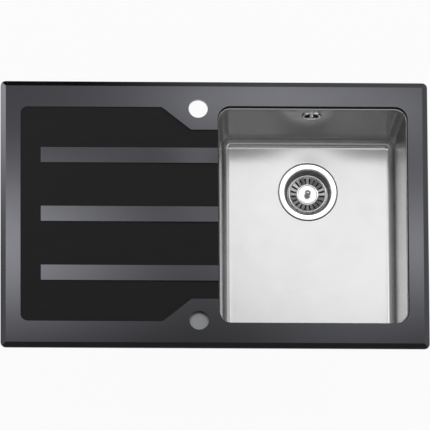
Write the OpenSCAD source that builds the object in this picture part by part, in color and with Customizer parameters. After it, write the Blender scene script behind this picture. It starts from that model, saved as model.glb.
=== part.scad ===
// Kitchen sink: a bevelled glass panel with a milled drainer, bonded to a steel carrier
// with a drawn bowl, a basket strainer waste, a piped overflow and worktop clamps.
// Millimetres. The origin is the centre of the seat plane, which is the worktop's top.
// +X runs to the right of the panel, +Y to the tap side and +Z up.

/* [Glass panel] */
// Width of the panel, left to right
panel_w = 780; // [740:5:860]
// Depth of the panel, front to back
panel_d = 500; // [490:5:560]
// Thickness of the glass
glass_t = 8; // [6:0.5:12]
// Radius of the panel's four corners
panel_corner_r = 10; // [4:1:20]
// Width of the ground bevel round the panel
bevel_w = 9.5; // [4:0.5:14]
// Drop of the bevel from the top face to the outer edge
bevel_h = 4.5; // [1:0.5:5]
// Glass left between the panel's side edges and the cut-outs
side_margin = 36.5; // [30:0.5:45]
// Glass left between the panel's front and back edges and the bowl's cut-out
end_margin = 46.5; // [45:0.5:60]

/* [Drainer] */
// Glass left between the panel's front and back edges and the drainer
drainer_margin = 49; // [35:1:70]
// Depth of the drainer at its far end
drainer_depth_far = 1.5; // [1:0.1:2]
// Depth of the drainer where it runs into the bowl
drainer_depth_bowl = 3; // [2.1:0.1:4]
// Radius of the drainer's outer corners
drainer_corner_r = 13; // [5:1:25]
// Radius where the drainer's edge turns round the tap holes
shoulder_r = 8; // [2:1:12]
// How far the drainer narrows at each tap hole
shoulder_d = 42.3; // [35:0.5:60]
// Length of the slanting edge at each tap hole
shoulder_run = 53; // [35:1:70]
// Distance from a tap hole's centre to the end of the slanting edge
shoulder_offset = 13.5; // [5:0.5:20]
// Number of raised drainer bars
bar_count = 3; // [1:1:4]
// Width of one raised bar
bar_w = 29; // [15:1:40]
// Distance between the bars
bar_pitch = 110.5; // [60:0.5:115]
// Distance from the drainer's end to the bars
bar_inset = 36.5; // [15:0.5:60]

/* [Tap holes] */
// Radius of the tap holes
tap_hole_r = 17.5; // [16:0.5:18]
// Distance from the bowl cut-out to the tap holes' centres
tap_from_bowl = 35.7; // [32:0.1:60]
// Distance from the panel's front or back edge to the tap holes' centres
tap_from_edge = 51; // [45:1:60]

/* [Bowl] */
// Inside width of the bowl at its mouth
bowl_w = 340; // [300:5:360]
// Drop from the worktop to the edge of the bowl floor
bowl_drop = 180; // [150:5:210]
// Inside radius of the bowl's upright corners
bowl_corner_r = 20; // [20:1:30]
// Draft of the walls in degrees
wall_draft = 4.2; // [2:0.1:5]
// Radius between the walls and the floor
bowl_floor_r = 15; // [8:1:15]
// Radius of the rolled lip
lip_r = 4; // [2:0.5:5]
// Steel shown between the lip and the glass
lip_reveal = 3.5; // [1:0.5:4]
// Width of the bowl's welded flange
bowl_flange_w = 8; // [7:1:12]
// Thickness of the steel sheet
sheet_t = 1; // [0.8:0.1:1.2]
// Fall of the floor towards the waste
floor_fall = 2.5; // [1:0.5:4]

/* [Carrier and seals] */
// Thickness of the rim seal between the glass and the worktop
seal_t = 2; // [1.5:0.1:3]
// Width of the rim seal
seal_w = 8; // [6:0.5:10]
// Set-back of the rim seal from the panel's edge
seal_inset = 2; // [1:0.5:4]
// Gap between the rim seal and the carrier
seal_gap = 4; // [3:0.5:6]
// Height of the carrier's edge strip
carrier_edge_h = 14; // [8:1:18]
// Gap in the butt weld round the bowl
weld_gap = 0.1; // [0.05:0.05:0.3]
// Thickness of the adhesive bed between the glass and the carrier
bond_t = 0.8; // [0.5:0.1:1.2]
// Set-back of the adhesive bed from the edges of the glass and steel
bond_inset = 1; // [0.5:0.5:3]
// Width of the adhesive's bead inside the bowl's cut-out
bond_bead = 2; // [0.5:0.1:2.5]

/* [Overflow] */
// Drop from the worktop to the overflow's centre
overflow_drop = 32; // [28:1:60]
// Radius of the hole in the bowl wall
overflow_hole_r = 14; // [13:0.5:16]
// Outside radius of the overflow rose
rose_r = 18.3; // [17:0.1:22]
// Thickness of the rose
rose_t = 2.4; // [1.5:0.1:3]
// Radius of the opening in the rose
rose_opening_r = 12.5; // [10:0.5:13]
// Width of the bar across the rose
rose_bar_w = 4.6; // [4:0.2:8]
// Radius of the rose's screw
rose_screw_r = 2.4; // [1.5:0.1:2.5]
// Thickness of the overflow's gasket
overflow_gasket_t = 2; // [1:0.5:3]
// Outside radius of the overflow elbow's barrel
elbow_r = 16.5; // [16.5:0.5:18]
// Wall of the overflow elbow
elbow_wall = 2; // [1.5:0.5:2.5]
// Length of the elbow from its gasket to its back
elbow_l = 29; // [27:0.5:30]

/* [Overflow hose] */
// Outside radius of the hose's ribs
hose_rib_r = 12; // [12:0.2:13]
// Outside radius of the hose between its ribs
hose_root_r = 10.6; // [10.4:0.1:11.2]
// Radius of the hose's bore, across its corners
hose_bore_r = 9.4; // [9.4:0.1:9.8]
// Radius of the hose's bend
hose_bend_r = 40; // [36:1:42]
// Distance from rib to rib
hose_pitch = 4; // [3.6:0.2:6]
// Outside radius of the tails that the hose is pushed on
tail_r = 8.5; // [7:0.1:8.6]
// Bore radius of the tails
tail_bore_r = 6.8; // [5:0.1:6.8]
// Length of the tails inside the hose
tail_l = 12; // [8:1:16]
// Radius of the threaded collars
collar_r = 13.5; // [13.5:0.1:14]
// Length of the threaded collars
collar_l = 8; // [6:0.5:9]
// Outside radius of the hose nuts
nut_r = 16.5; // [16.5:0.5:18]
// Length of the hose nuts
nut_l = 14; // [12:1:18]
// Number of grip flutes round a hose nut
nut_flutes = 10; // [6:1:14]

/* [Waste] */
// Distance from the bowl's back lip to the waste's centre
waste_from_back = 108; // [100:1:200]
// Radius of the recess in the bowl floor
waste_seat_r = 53.5; // [53:0.5:60]
// Depth of the recess in the bowl floor
waste_seat_d = 3; // [2:0.5:4]
// Radius of the hole in the bowl floor
waste_hole_r = 45; // [44:0.5:46.5]
// Outside radius of the strainer cup's flange
cup_flange_r = 52.5; // [50:0.5:53]
// Inside radius of the strainer cup at its mouth
cup_mouth_r = 42; // [41:0.5:42.5]
// Inside radius of the strainer cup at its floor
cup_floor_r = 39.5; // [38:0.5:40]
// Inside depth of the strainer cup
cup_depth = 23.7; // [21:0.1:26]
// Thickness of the strainer cup
cup_t = 1.2; // [0.8:0.1:1.5]
// Radius of the strainer cup's bends
cup_bend = 2.5; // [2:0.1:3]
// Number of outlet slots in the cup's floor
cup_slots = 6; // [4:1:8]
// Width of an outlet slot
cup_slot_w = 6; // [4:0.5:7]
// Thickness of the gasket under the cup's flange
top_gasket_t = 1; // [0.5:0.1:1.5]
// Thickness of the gasket under the bowl
low_gasket_t = 3; // [2:0.5:5]
// Outside radius of the waste body's flange
body_flange_r = 54; // [52:0.5:60]
// Depth of the waste body from its flange to the outlet's shoulder
body_depth = 47; // [45:1:60]
// Wall of the waste body
body_wall = 3; // [2:0.5:3.5]
// Outside radius of the outlet
outlet_r = 23.9; // [22:0.1:25]
// Bore radius of the outlet
outlet_bore_r = 19.5; // [18:0.5:20.5]
// Length of the outlet
outlet_l = 21; // [18:1:40]
// Radius of the waste's central bolt
bolt_r = 5; // [4.5:0.5:5.5]
// Radius of the bolt's head
bolt_head_r = 8; // [7:0.5:8.5]
// Height of the bolt's head
bolt_head_h = 4; // [2:0.5:4]

/* [Basket] */
// Outside radius of the basket's rim
basket_r = 35.5; // [34.5:0.5:37]
// Radius where the basket's slots start
slot_outer_r = 31.5; // [30:0.5:32]
// Radius where the basket's slots end
slot_inner_r = 20; // [19.5:0.5:24]
// Number of slots round the basket
slot_count = 20; // [12:1:24]
// Width of a slot
slot_w = 3.2; // [2:0.1:3.6]
// Height of the basket from its floor to its rim
basket_h = 7; // [5:0.5:9]
// Thickness of the basket
basket_t = 0.8; // [0.6:0.1:1]
// Drop from the cup's mouth to the basket's floor
basket_floor_drop = 18.2; // [17:0.1:18.4]
// Radius of the basket's raised centre
basket_centre_r = 17.4; // [15:0.2:18]
// Height of the basket's raised centre
basket_centre_h = 0.8; // [0.4:0.1:1.2]
// Radius of the basket's knob
knob_r = 6; // [5:0.5:9]
// Height of the basket's knob
knob_h = 17; // [14:0.5:17]
// Radius of the basket's spindle
spindle_r = 3; // [2.5:0.1:3.2]
// Length of the spindle below the basket's floor
spindle_l = 26; // [18:1:26]

/* [Clamps] */
// Travel of a clamp screw
clamp_travel = 17; // [12:1:17]
// Thickness of the clamp brackets
bracket_t = 2.5; // [2:0.5:3]
// Width of the clamp brackets
bracket_w = 20; // [16:1:24]
// Distance from the carrier's edge to the clamp screws
clamp_inset = 12; // [11:0.5:12]
// Radius of the clamp screws
clamp_screw_r = 3; // [2.5:0.5:3]
// Length of a clamp screw under its bracket
clamp_screw_l = 35.5; // [32:0.5:50]
// Height of a clamp screw's head
clamp_head_h = 4; // [3:0.5:6]
// Reach of a claw from its screw
claw_reach = 30; // [26:1:36]
// Width of a claw
claw_w = 12; // [10:1:14]
// Thickness of a claw
claw_t = 3; // [2:0.5:4]
// Height of a claw's upturned tip
claw_tip_h = 13; // [10:1:16]
// Distance from the panel's left edge to the first clamps
clamp_from_left = 110; // [80:5:150]
// Distance from the panel's right edge to the last clamps
clamp_from_right = 90; // [80:5:120]
// Distance from the bowl's left wall to the middle clamps
clamp_from_bowl = 20; // [15:5:50]

/* [Sound pads] */
// Thickness of the pads on the bowl
pad_t = 2; // [1:0.5:3]
// Length of the wall pads
pad_l = 200; // [120:5:240]
// Height of the wall pads
pad_h = 90; // [60:5:110]
// Distance from the floor pad to the ends of the floor's slope
pad_inset = 25; // [20:5:50]

/* [Fits] */
// Radial clearance of a running fit
running_fit = 0.05; // [0.02:0.01:0.08]
// Radial clearance of a threaded fit, shown without its thread
thread_fit = 0.05; // [0.02:0.01:0.1]
// Clearance between a moving piece and its seat
seat_gap = 0.2; // [0.1:0.05:0.3]
// Clearance round a piece in its hole
loose_fit = 0.4; // [0.2:0.1:0.5]

/* [Hidden] */
$fn = 72;
// How far a cutting shape runs past the surface that it opens
over = 1;
// Straight steps in a rounded corner of an outline
corner_steps = 12;
// Straight steps in a small bend of a section
bend_steps = 5;
// Share of its own width that the bevel's cut runs past the glass
bevel_overrun = 0.25;

// Levels from the worktop up
glass_bottom = seal_t;
glass_top_z = seal_t + glass_t;
carrier_top = glass_bottom - bond_t;
carrier_low = carrier_top - sheet_t;

// Plan of the bowl and its cut-outs
bowl_x = panel_w / 2 - side_margin - lip_reveal - bowl_w / 2;
bowl_d = panel_d - 2 * (end_margin + lip_reveal);
core_w = bowl_w - 2 * bowl_corner_r;
core_d = bowl_d - 2 * bowl_corner_r;
cut_w = bowl_w + 2 * lip_reveal;
cut_d = bowl_d + 2 * lip_reveal;
cut_r = bowl_corner_r + lip_reveal;
cut_left = bowl_x - cut_w / 2;
flange_w = bowl_w + 2 * bowl_flange_w;
flange_d = bowl_d + 2 * bowl_flange_w;
flange_r = bowl_corner_r + bowl_flange_w;

// Plan of the seals and the carrier
seal_out_w = panel_w - 2 * seal_inset;
seal_out_d = panel_d - 2 * seal_inset;
seal_in_w = seal_out_w - 2 * seal_w;
seal_in_d = seal_out_d - 2 * seal_w;
carrier_w = seal_in_w - 2 * seal_gap;
carrier_d = seal_in_d - 2 * seal_gap;
carrier_r = panel_corner_r;

// Places of the tap holes
tap_x = cut_left - tap_from_bowl;
tap_y = panel_d / 2 - tap_from_edge;

// Section of the bowl, as distances outside the core rectangle and heights
lip_centre = [bowl_corner_r + lip_r, carrier_top - lip_r];
wall_normal = [-cos(wall_draft), sin(wall_draft)];
floor_edge_z = -bowl_drop;
floor_centre_z = floor_edge_z + bowl_floor_r;
floor_centre_r = lip_centre.x
    + (sin(wall_draft) * (floor_centre_z - lip_centre.y) - (bowl_floor_r + lip_r)) / cos(wall_draft);
floor_centre = [floor_centre_r, floor_centre_z];
wall_top = lip_centre + lip_r * wall_normal;
wall_low = floor_centre - bowl_floor_r * wall_normal;
heel_corner_r = bowl_floor_r + 2;

// Levels of the waste, from the bowl floor down
floor_low_z = floor_edge_z - floor_fall;
seat_z = floor_low_z - waste_seat_d;
bowl_under_z = seat_z - sheet_t;
cup_under_z = seat_z + top_gasket_t;
cup_top_z = cup_under_z + cup_t;
cup_floor_z = cup_top_z - cup_depth;
body_top_z = bowl_under_z - low_gasket_t;
body_low_z = body_top_z - body_depth;
outlet_end_z = body_low_z - outlet_l;
waste_y = bowl_d / 2 - waste_from_back;
seat_bend = 1.5;
seat_rim_r = waste_seat_r + 2 * seat_bend;
floor_flat = seat_rim_r + 1;
cup_slot_land = 2;
gasket_inset = 1;

// Sizes of the waste body
body_flange_t = 4;
body_top_r = waste_hole_r + 4;
body_low_r = waste_hole_r + 2;
body_mouth_r = waste_hole_r + 0.5;
body_fillet = 2;
outlet_shoulder = 8;
chamber_r = body_low_r - body_wall;
chamber_floor_z = body_low_z + 10;
chamber_low_z = body_low_z + 4;
boss_r = 9;
boss_h = 17;
rib_t = 3;
rib_h = 13;
rib_sink = 1;
rib_angles = [30, 150, 270];
gusset_t = 2.5;
gusset_h = 14;
gusset_root = 1;
gusset_count = 8;
bolt_short = 1;
bolt_under_z = body_low_z + bolt_short;
inlet_z = body_top_z - 24.5;
inlet_reach = 62;

// Levels of the basket
basket_floor_z = cup_top_z - basket_floor_drop;
basket_under_z = basket_floor_z - basket_t;
basket_rim_z = basket_floor_z + basket_h;
knob_base_z = basket_floor_z + basket_centre_h;
spindle_end_z = basket_under_z - spindle_l;
bolt_bore_end_z = spindle_end_z - 2;
knob_ball_z = knob_base_z + knob_h - knob_r;
knob_stem_r = spindle_r + 1.2;
knob_foot = 1.6;
rim_bend = 0.8;
rim_fold = 2.2;
rim_hem = 1.6;
dish_lip = 1.5;
slot_land = 1;
centre_slope = 0.6;
slot_taper = 0.7;
spindle_tip_h = 1;
groove_h = 2;
groove_d = 0.6;
groove_up = 6;

// Sizes of the basket's seal
seal_lip_r = 25;
seal_hub_r = 10;
seal_lip_t = 3;
seal_lip_bevel = 0.5;
seal_lip_edge = 0.8;
seal_low_z = cup_floor_z + bolt_head_h + seat_gap;

// Overflow, in a frame that lies on the back wall
overflow_r = wall_top.x + (-overflow_drop - wall_top.y) * tan(wall_draft);
overflow_y = core_d / 2 + overflow_r;
elbow_start = -sheet_t - overflow_gasket_t;
elbow_end = elbow_start - elbow_l;
rose_edge = 0.8;
rose_boss_r = rose_screw_r + 2;
rose_head_t = 1.8;
rose_head_r = rose_screw_r + 1.6;
rose_head_z = rose_t - rose_edge;
rose_slot_w = 1;
elbow_flange_t = 3;
elbow_flange_r = rose_r + 1.5;
elbow_tail_axis = elbow_start - elbow_l / 2 - 2;
elbow_collar_drop = elbow_r + 3;
elbow_boss_r = 4.5;
elbow_boss_l = elbow_l - 4;
elbow_rib_l = elbow_l - 8;

// Route of the hose in the upright plane through the overflow: straight, bend, straight
hose_start = [waste_y + inlet_reach, inlet_z];
hose_end_drop = elbow_collar_drop + collar_l;
hose_end = [overflow_y - hose_end_drop * sin(wall_draft) - elbow_tail_axis * cos(wall_draft),
    -overflow_drop - hose_end_drop * cos(wall_draft) + elbow_tail_axis * sin(wall_draft)];
hose_turn = 90 - wall_draft;
hose_knee = [hose_end.x - tan(wall_draft) * (hose_end.y - inlet_z), inlet_z];
hose_tangent = hose_bend_r * tan(hose_turn / 2);
hose_run_1 = hose_knee.x - hose_tangent - hose_start.x;
hose_arc = hose_bend_r * hose_turn * PI / 180;
hose_run_2 = norm(hose_end - hose_knee) - hose_tangent;
hose_length = hose_run_1 + hose_arc + hose_run_2;
hose_ribs = floor(hose_length / hose_pitch);
hose_sides = 8;
flute_r = 1.6;
nut_lip = 3;
nut_gap = 1;

// Clamps as place and outward direction
clamp_edge_x = carrier_w / 2 - clamp_inset - sheet_t;
clamp_edge_y = carrier_d / 2 - clamp_inset - sheet_t;
clamp_x_left = clamp_from_left - panel_w / 2;
clamp_x_mid = bowl_x - bowl_w / 2 + clamp_from_bowl;
clamp_x_right = panel_w / 2 - clamp_from_right;
CLAMPS = [
    [clamp_x_left, clamp_edge_y, 90],
    [clamp_x_mid, clamp_edge_y, 90],
    [clamp_x_right, clamp_edge_y, 90],
    [clamp_edge_x, 0, 0],
    [clamp_x_right, -clamp_edge_y, -90],
    [clamp_x_mid, -clamp_edge_y, -90],
    [clamp_x_left, -clamp_edge_y, -90],
    [-clamp_edge_x, 0, 180]
];
screw_tip_h = 1;
screw_room = 3;
bracket_drop = clamp_travel + bracket_t + screw_room;
clamp_head_top = -bracket_drop - clamp_screw_l;
clamp_tip_z = -bracket_drop + bracket_t + screw_tip_h;
screw_slot_w = 1.2;
hex_factor = 1.9;
claw_tooth = 2;
claw_z = clamp_head_top + seat_gap;
bracket_bend = 1;

steel_colour = "silver";
polish_colour = "gainsboro";
plastic_colour = "dimgray";
rubber_colour = [0.12, 0.12, 0.13];
glass_colour = [0.16, 0.16, 0.18];

// Points on an arc round a centre
function arc(centre, r, from, to, steps) =
    [for (i = [0:steps]) let (a = from + (to - from) * i / steps) centre + r * [cos(a), sin(a)]];

// The rounded corner at b, between a and c
function corner(a, b, c, r) =
    r <= 0 ? [b] :
    let (
        u = (a - b) / norm(a - b),
        v = (c - b) / norm(c - b),
        half = acos(u * v) / 2,
        centre = b + (u + v) / norm(u + v) * r / sin(half),
        p = b + u * r / tan(half) - centre,
        q = b + v * r / tan(half) - centre,
        from = atan2(p.y, p.x),
        turn = (atan2(q.y, q.x) - from + 540) % 360 - 180
    )
    arc(centre, r, from, from + turn, corner_steps);

// An outline with its corners rounded by the listed radii
function rounded(points, radii) =
    let (n = len(points))
    [for (i = [0:n - 1]) each corner(points[(i + n - 1) % n], points[i], points[(i + 1) % n], radii[i])];

// A rectangle round the origin with rounded corners
function rounded_rect(w, d, r) =
    rounded([[w / 2, d / 2], [-w / 2, d / 2], [-w / 2, -d / 2], [w / 2, -d / 2]], [r, r, r, r]);

module rect_plate(w, d, r, from, to) {
    translate([0, 0, from])
        linear_extrude(height = to - from)
            polygon(rounded_rect(w, d, r));
}

module at_bowl() {
    translate([bowl_x, 0, 0])
        children();
}

module at_waste() {
    translate([bowl_x, waste_y, 0])
        children();
}

// The wall's own frame: +Z points into the bowl and +Y up the wall
module at_overflow() {
    translate([bowl_x, overflow_y, -overflow_drop])
        rotate([90 - wall_draft, 0, 0])
            children();
}

// A ring with true round walls
module ring(r_out, r_in, from, to) {
    translate([0, 0, from])
        difference() {
            cylinder(r = r_out, h = to - from);
            translate([0, 0, -over])
                cylinder(r = r_in, h = to - from + 2 * over);
        }
}

// Wedge that grinds the bevel along one side, as a section of outward distance and height
module bevel_wedge(edge, length) {
    top = [edge - bevel_w, glass_top_z];
    low = [edge, glass_top_z - bevel_h];
    reach = (low - top) * bevel_overrun;
    translate([0, length / 2 + over, 0])
        rotate([90, 0, 0])
            linear_extrude(height = length + 2 * over)
                polygon([top - reach, low + reach, [low.x + reach.x, top.y - reach.y]]);
}

module drainer_outline() {
    far = -panel_w / 2 + side_margin;
    half = panel_d / 2 - drainer_margin;
    neck = half - shoulder_d;
    turn_1 = tap_x - shoulder_offset - shoulder_run;
    turn_2 = tap_x - shoulder_offset;
    mouth = cut_left + cut_r / 2;
    difference() {
        polygon(rounded(
            [[mouth, neck], [turn_2, neck], [turn_1, half], [far, half],
             [far, -half], [turn_1, -half], [turn_2, -neck], [mouth, -neck]],
            [0, shoulder_r, shoulder_r, drainer_corner_r, drainer_corner_r, shoulder_r, shoulder_r, 0]));
        for (i = [0:bar_count - 1])
            translate([far + bar_inset, (i - (bar_count - 1) / 2) * bar_pitch - bar_w / 2])
                square([mouth + over - far - bar_inset, bar_w]);
    }
}

// The milled drainer: its outline, under a floor that falls to the bowl
module drainer_cut() {
    far = -panel_w / 2 + side_margin - over;
    mouth = cut_left + cut_r;
    intersection() {
        translate([0, 0, glass_bottom])
            linear_extrude(height = glass_t + over)
                drainer_outline();
        translate([0, panel_d / 2, 0])
            rotate([90, 0, 0])
                linear_extrude(height = panel_d)
                    polygon([
                        [far, glass_top_z + 2 * over],
                        [far, glass_top_z - drainer_depth_far],
                        [mouth, glass_top_z - drainer_depth_bowl],
                        [mouth, glass_top_z + 2 * over]
                    ]);
    }
}

module glass_top() {
    color(glass_colour)
        difference() {
            rect_plate(panel_w, panel_d, panel_corner_r, glass_bottom, glass_top_z);
            for (a = [0, 180])
                rotate(a)
                    bevel_wedge(panel_w / 2, panel_d);
            for (a = [90, 270])
                rotate(a)
                    bevel_wedge(panel_d / 2, panel_w);
            at_bowl()
                rect_plate(cut_w, cut_d, cut_r, glass_bottom - over, glass_top_z + over);
            for (side = [-1, 1])
                translate([tap_x, side * tap_y, glass_bottom - over])
                    cylinder(r = tap_hole_r, h = glass_t + 2 * over);
            drainer_cut();
        }
}

module glass_bond() {
    color("black")
        difference() {
            rect_plate(carrier_w - 2 * bond_inset, carrier_d - 2 * bond_inset, carrier_r - bond_inset,
                carrier_top, glass_bottom);
            at_bowl()
                rect_plate(cut_w - 2 * bond_bead, cut_d - 2 * bond_bead, cut_r - bond_bead,
                    carrier_top - over, glass_bottom + over);
            for (side = [-1, 1])
                translate([tap_x, side * tap_y, carrier_top - over])
                    cylinder(r = tap_hole_r + bond_inset, h = seal_t + 2 * over);
        }
}

module rim_seal() {
    color(rubber_colour)
        difference() {
            rect_plate(seal_out_w, seal_out_d, panel_corner_r - seal_inset, 0, glass_bottom);
            rect_plate(seal_in_w, seal_in_d, panel_corner_r - seal_inset, -over, glass_bottom + over);
        }
}

// The flat sheet that the glass is bonded to and the bowl is welded into
module carrier_sheet() {
    color(steel_colour)
        difference() {
            rect_plate(carrier_w, carrier_d, carrier_r, carrier_low, carrier_top);
            at_bowl()
                rect_plate(flange_w + 2 * weld_gap, flange_d + 2 * weld_gap, flange_r + weld_gap,
                    -over, carrier_top + over);
            translate([tap_x, tap_y, carrier_low - over])
                cylinder(r = tap_hole_r, h = sheet_t + 2 * over);
        }
}

// The stiffening strip welded on edge under the sheet
module carrier_edge() {
    color(steel_colour)
        difference() {
            rect_plate(carrier_w, carrier_d, carrier_r, -carrier_edge_h, carrier_low);
            rect_plate(carrier_w - 2 * sheet_t, carrier_d - 2 * sheet_t, carrier_r - sheet_t,
                -carrier_edge_h - over, carrier_low + over);
        }
}

// One face of the bowl's sheet, from the flange over the lip and down to the floor
function bowl_face(depth) = concat(
    [[bowl_corner_r + bowl_flange_w, carrier_top - depth]],
    arc(lip_centre, lip_r - depth, 90, 180 - wall_draft, bend_steps),
    arc(floor_centre, bowl_floor_r + depth, -wall_draft, -90, corner_steps)
);

// Radius of the bowl's upright corners at a point of the inner face
function bowl_corner_at(p) =
    p.y >= wall_top.y ? p.x :
    p.y <= wall_low.y ? heel_corner_r - wall_low.x + p.x :
    heel_corner_r + (wall_top.x - heel_corner_r) * (p.y - wall_low.y) / (wall_top.y - wall_low.y);

// One face as closed loops of points, each a rounded rectangle at its own height
function bowl_loops(depth) =
    let (inner = bowl_face(0), face = bowl_face(depth))
    [for (i = [0:len(face) - 1])
        let (p = face[i], r = bowl_corner_at(inner[i]) + p.x - inner[i].x)
        each [for (q = rounded_rect(core_w + 2 * p.x, core_d + 2 * p.x, r)) [q.x, q.y, p.y]]];

// Faces between two loops of n points that start at the given indices
function loop_band(n, i, j) =
    [for (k = [0:n - 1]) let (m = (k + 1) % n) [i + k, j + k, j + m, i + m]];

// Faces from the last loop, at index i, to the square round the waste, at index q
function floor_faces(n, i, q) =
    let (steps = corner_steps + 1)
    [for (c = [0:3])
        let (end = i + c * steps + corner_steps, next = (c + 1) % 4)
        each concat(
            [for (k = [0:corner_steps - 1]) [i + c * steps + k, q + c, i + c * steps + k + 1]],
            [[end, q + c, q + next, i + next * steps]])];

function reversed(list) = [for (i = [len(list) - 1:-1:0]) list[i]];

// The drawn shell, with a floor that falls in four flats to a square round the waste
module bowl_shell() {
    n = 4 * (corner_steps + 1);
    rings = len(bowl_face(0));
    last = (rings - 1) * n;
    under = rings * n;
    square = 2 * under;
    flat = [for (p = [[1, 1], [-1, 1], [-1, -1], [1, -1]]) [p.x * floor_flat, p.y * floor_flat + waste_y]];
    points = concat(
        bowl_loops(0),
        bowl_loops(sheet_t),
        [for (p = flat) [p.x, p.y, floor_low_z]],
        [for (p = flat) [p.x, p.y, floor_low_z - sheet_t]]
    );
    below = concat(
        [for (i = [0:n:last - n]) each loop_band(n, under + i, under + i + n)],
        floor_faces(n, under + last, square + 4),
        [[square + 7, square + 6, square + 5, square + 4]]
    );
    polyhedron(points, concat(
        [for (i = [0:n:last - n]) each loop_band(n, i, i + n)],
        floor_faces(n, last, square),
        [[square + 3, square + 2, square + 1, square]],
        loop_band(n, under, 0),
        [for (f = below) reversed(f)]
    ));
}

// The recess that the waste sits in
module waste_seat() {
    step = [waste_seat_r + seat_bend, floor_low_z];
    rotate_extrude()
        polygon([
            step + [seat_bend, 0],
            step,
            [waste_seat_r, floor_low_z - seat_bend],
            [waste_seat_r, seat_z],
            [waste_hole_r, seat_z],
            [waste_hole_r, bowl_under_z],
            [waste_seat_r + sheet_t, bowl_under_z],
            [waste_seat_r + sheet_t, floor_low_z - seat_bend],
            step + [sheet_t / 2, -sheet_t],
            step + [seat_bend, -sheet_t]
        ]);
}

module bowl() {
    color(steel_colour)
        difference() {
            union() {
                at_bowl()
                    difference() {
                        bowl_shell();
                        translate([0, waste_y, bowl_under_z - over])
                            cylinder(r = seat_rim_r - seat_bend / 3, h = waste_seat_d + sheet_t + 2 * over);
                    }
                at_waste()
                    waste_seat();
            }
            at_overflow()
                translate([0, 0, -sheet_t - over])
                    cylinder(r = overflow_hole_r, h = sheet_t + 2 * over);
        }
}

// A pad stuck on a wall of the bowl, whose outer face lies this far from the bowl's centre
module wall_pad(distance, length) {
    mid_z = -bowl_drop / 2;
    wall_r = wall_top.x + (mid_z - wall_top.y) * tan(wall_draft);
    translate([distance + wall_r, 0, mid_z])
        rotate([0, wall_draft, 0])
            translate([sheet_t, -length / 2, -pad_h / 2])
                cube([pad_t, length, pad_h]);
}

// A pad under the floor's long slope, in front of the waste
module floor_pad() {
    front = -core_d / 2 - floor_centre.x;
    run = waste_y - floor_flat - front;
    slope = atan(floor_fall / run);
    translate([0, front, floor_edge_z - sheet_t])
        rotate([-slope, 0, 0])
            translate([-pad_l / 2, pad_inset, -pad_t])
                cube([pad_l, run - 2 * pad_inset, pad_t]);
}

module sound_pads() {
    color("dimgray")
        at_bowl() {
            for (a = [0, 180])
                rotate(a)
                    wall_pad(core_w / 2, pad_l);
            rotate(270)
                wall_pad(core_d / 2, pad_l);
            floor_pad();
        }
}

module overflow_rose() {
    edge = rose_edge;
    color(polish_colour)
        at_overflow()
            difference() {
                union() {
                    rotate_extrude()
                        polygon([
                            [rose_opening_r, 0],
                            [rose_r, 0],
                            [rose_r, edge],
                            [rose_r - edge, rose_t - edge / 2],
                            [rose_r - 2 * edge, rose_t],
                            [rose_opening_r + edge, rose_t],
                            [rose_opening_r, rose_t - edge]
                        ]);
                    intersection() {
                        translate([-rose_bar_w / 2, -rose_opening_r - edge, 0])
                            cube([rose_bar_w, 2 * (rose_opening_r + edge), rose_t - edge]);
                        cylinder(r = rose_opening_r + edge, h = rose_t);
                    }
                    cylinder(r = rose_boss_r, h = rose_t - edge);
                }
                translate([0, 0, -over])
                    cylinder(r = rose_screw_r + loose_fit, h = rose_t + 2 * over);
            }
}

module overflow_screw() {
    screw_end = elbow_end + 2 * elbow_wall;
    color(polish_colour)
        at_overflow()
            difference() {
                union() {
                    translate([0, 0, rose_head_z])
                        cylinder(r1 = rose_head_r, r2 = rose_head_r - rose_edge, h = rose_head_t);
                    translate([0, 0, screw_end])
                        cylinder(r = rose_screw_r, h = rose_head_z + rose_head_t / 3 - screw_end);
                }
                translate([-rose_head_r, -rose_slot_w / 2, rose_head_z + rose_head_t / 2])
                    cube([2 * rose_head_r, rose_slot_w, rose_head_t]);
            }
}

module overflow_gasket() {
    color(rubber_colour)
        at_overflow()
            ring(elbow_flange_r, overflow_hole_r, elbow_start, -sheet_t);
}

// The elbow behind the bowl: a closed barrel with a tail down to the hose
module overflow_elbow() {
    color(plastic_colour)
        at_overflow()
            difference() {
                union() {
                    difference() {
                        union() {
                            translate([0, 0, elbow_end])
                                cylinder(r = elbow_r, h = elbow_l);
                            translate([0, 0, elbow_start - elbow_flange_t])
                                cylinder(r = elbow_flange_r, h = elbow_flange_t);
                            translate([0, 0, elbow_tail_axis])
                                rotate([90, 0, 0]) {
                                    cylinder(r = collar_r, h = elbow_collar_drop + collar_l);
                                    cylinder(r = tail_r, h = hose_end_drop + tail_l);
                                }
                        }
                        translate([0, 0, elbow_end + elbow_wall])
                            cylinder(r = elbow_r - elbow_wall, h = elbow_l);
                        translate([0, 0, elbow_tail_axis])
                            rotate([90, 0, 0])
                                cylinder(r = tail_bore_r, h = hose_end_drop + tail_l + over);
                    }
                    translate([0, 0, elbow_end + elbow_wall / 2])
                        cylinder(r = elbow_boss_r, h = elbow_boss_l);
                    translate([-elbow_wall / 2, 0, elbow_end + elbow_wall / 2])
                        cube([elbow_wall, elbow_r - elbow_wall / 2, elbow_rib_l]);
                }
                translate([0, 0, elbow_end + elbow_wall])
                    cylinder(r = rose_screw_r + thread_fit, h = elbow_l);
            }
}

// A fluted union nut on +Z, over a collar that ends at z = 0 and the hose beyond it
module hose_nut() {
    start = nut_gap - collar_l;
    difference() {
        translate([0, 0, start])
            cylinder(r = nut_r, h = nut_l);
        translate([0, 0, start - over])
            cylinder(r = collar_r + thread_fit, h = nut_l - nut_lip + over);
        translate([0, 0, start])
            cylinder(r = hose_rib_r + loose_fit, h = nut_l + over);
        for (i = [0:nut_flutes - 1])
            rotate(i * 360 / nut_flutes)
                translate([nut_r + flute_r / 3, 0, start + flute_r])
                    cylinder(r = flute_r, h = nut_l);
    }
}

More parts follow.
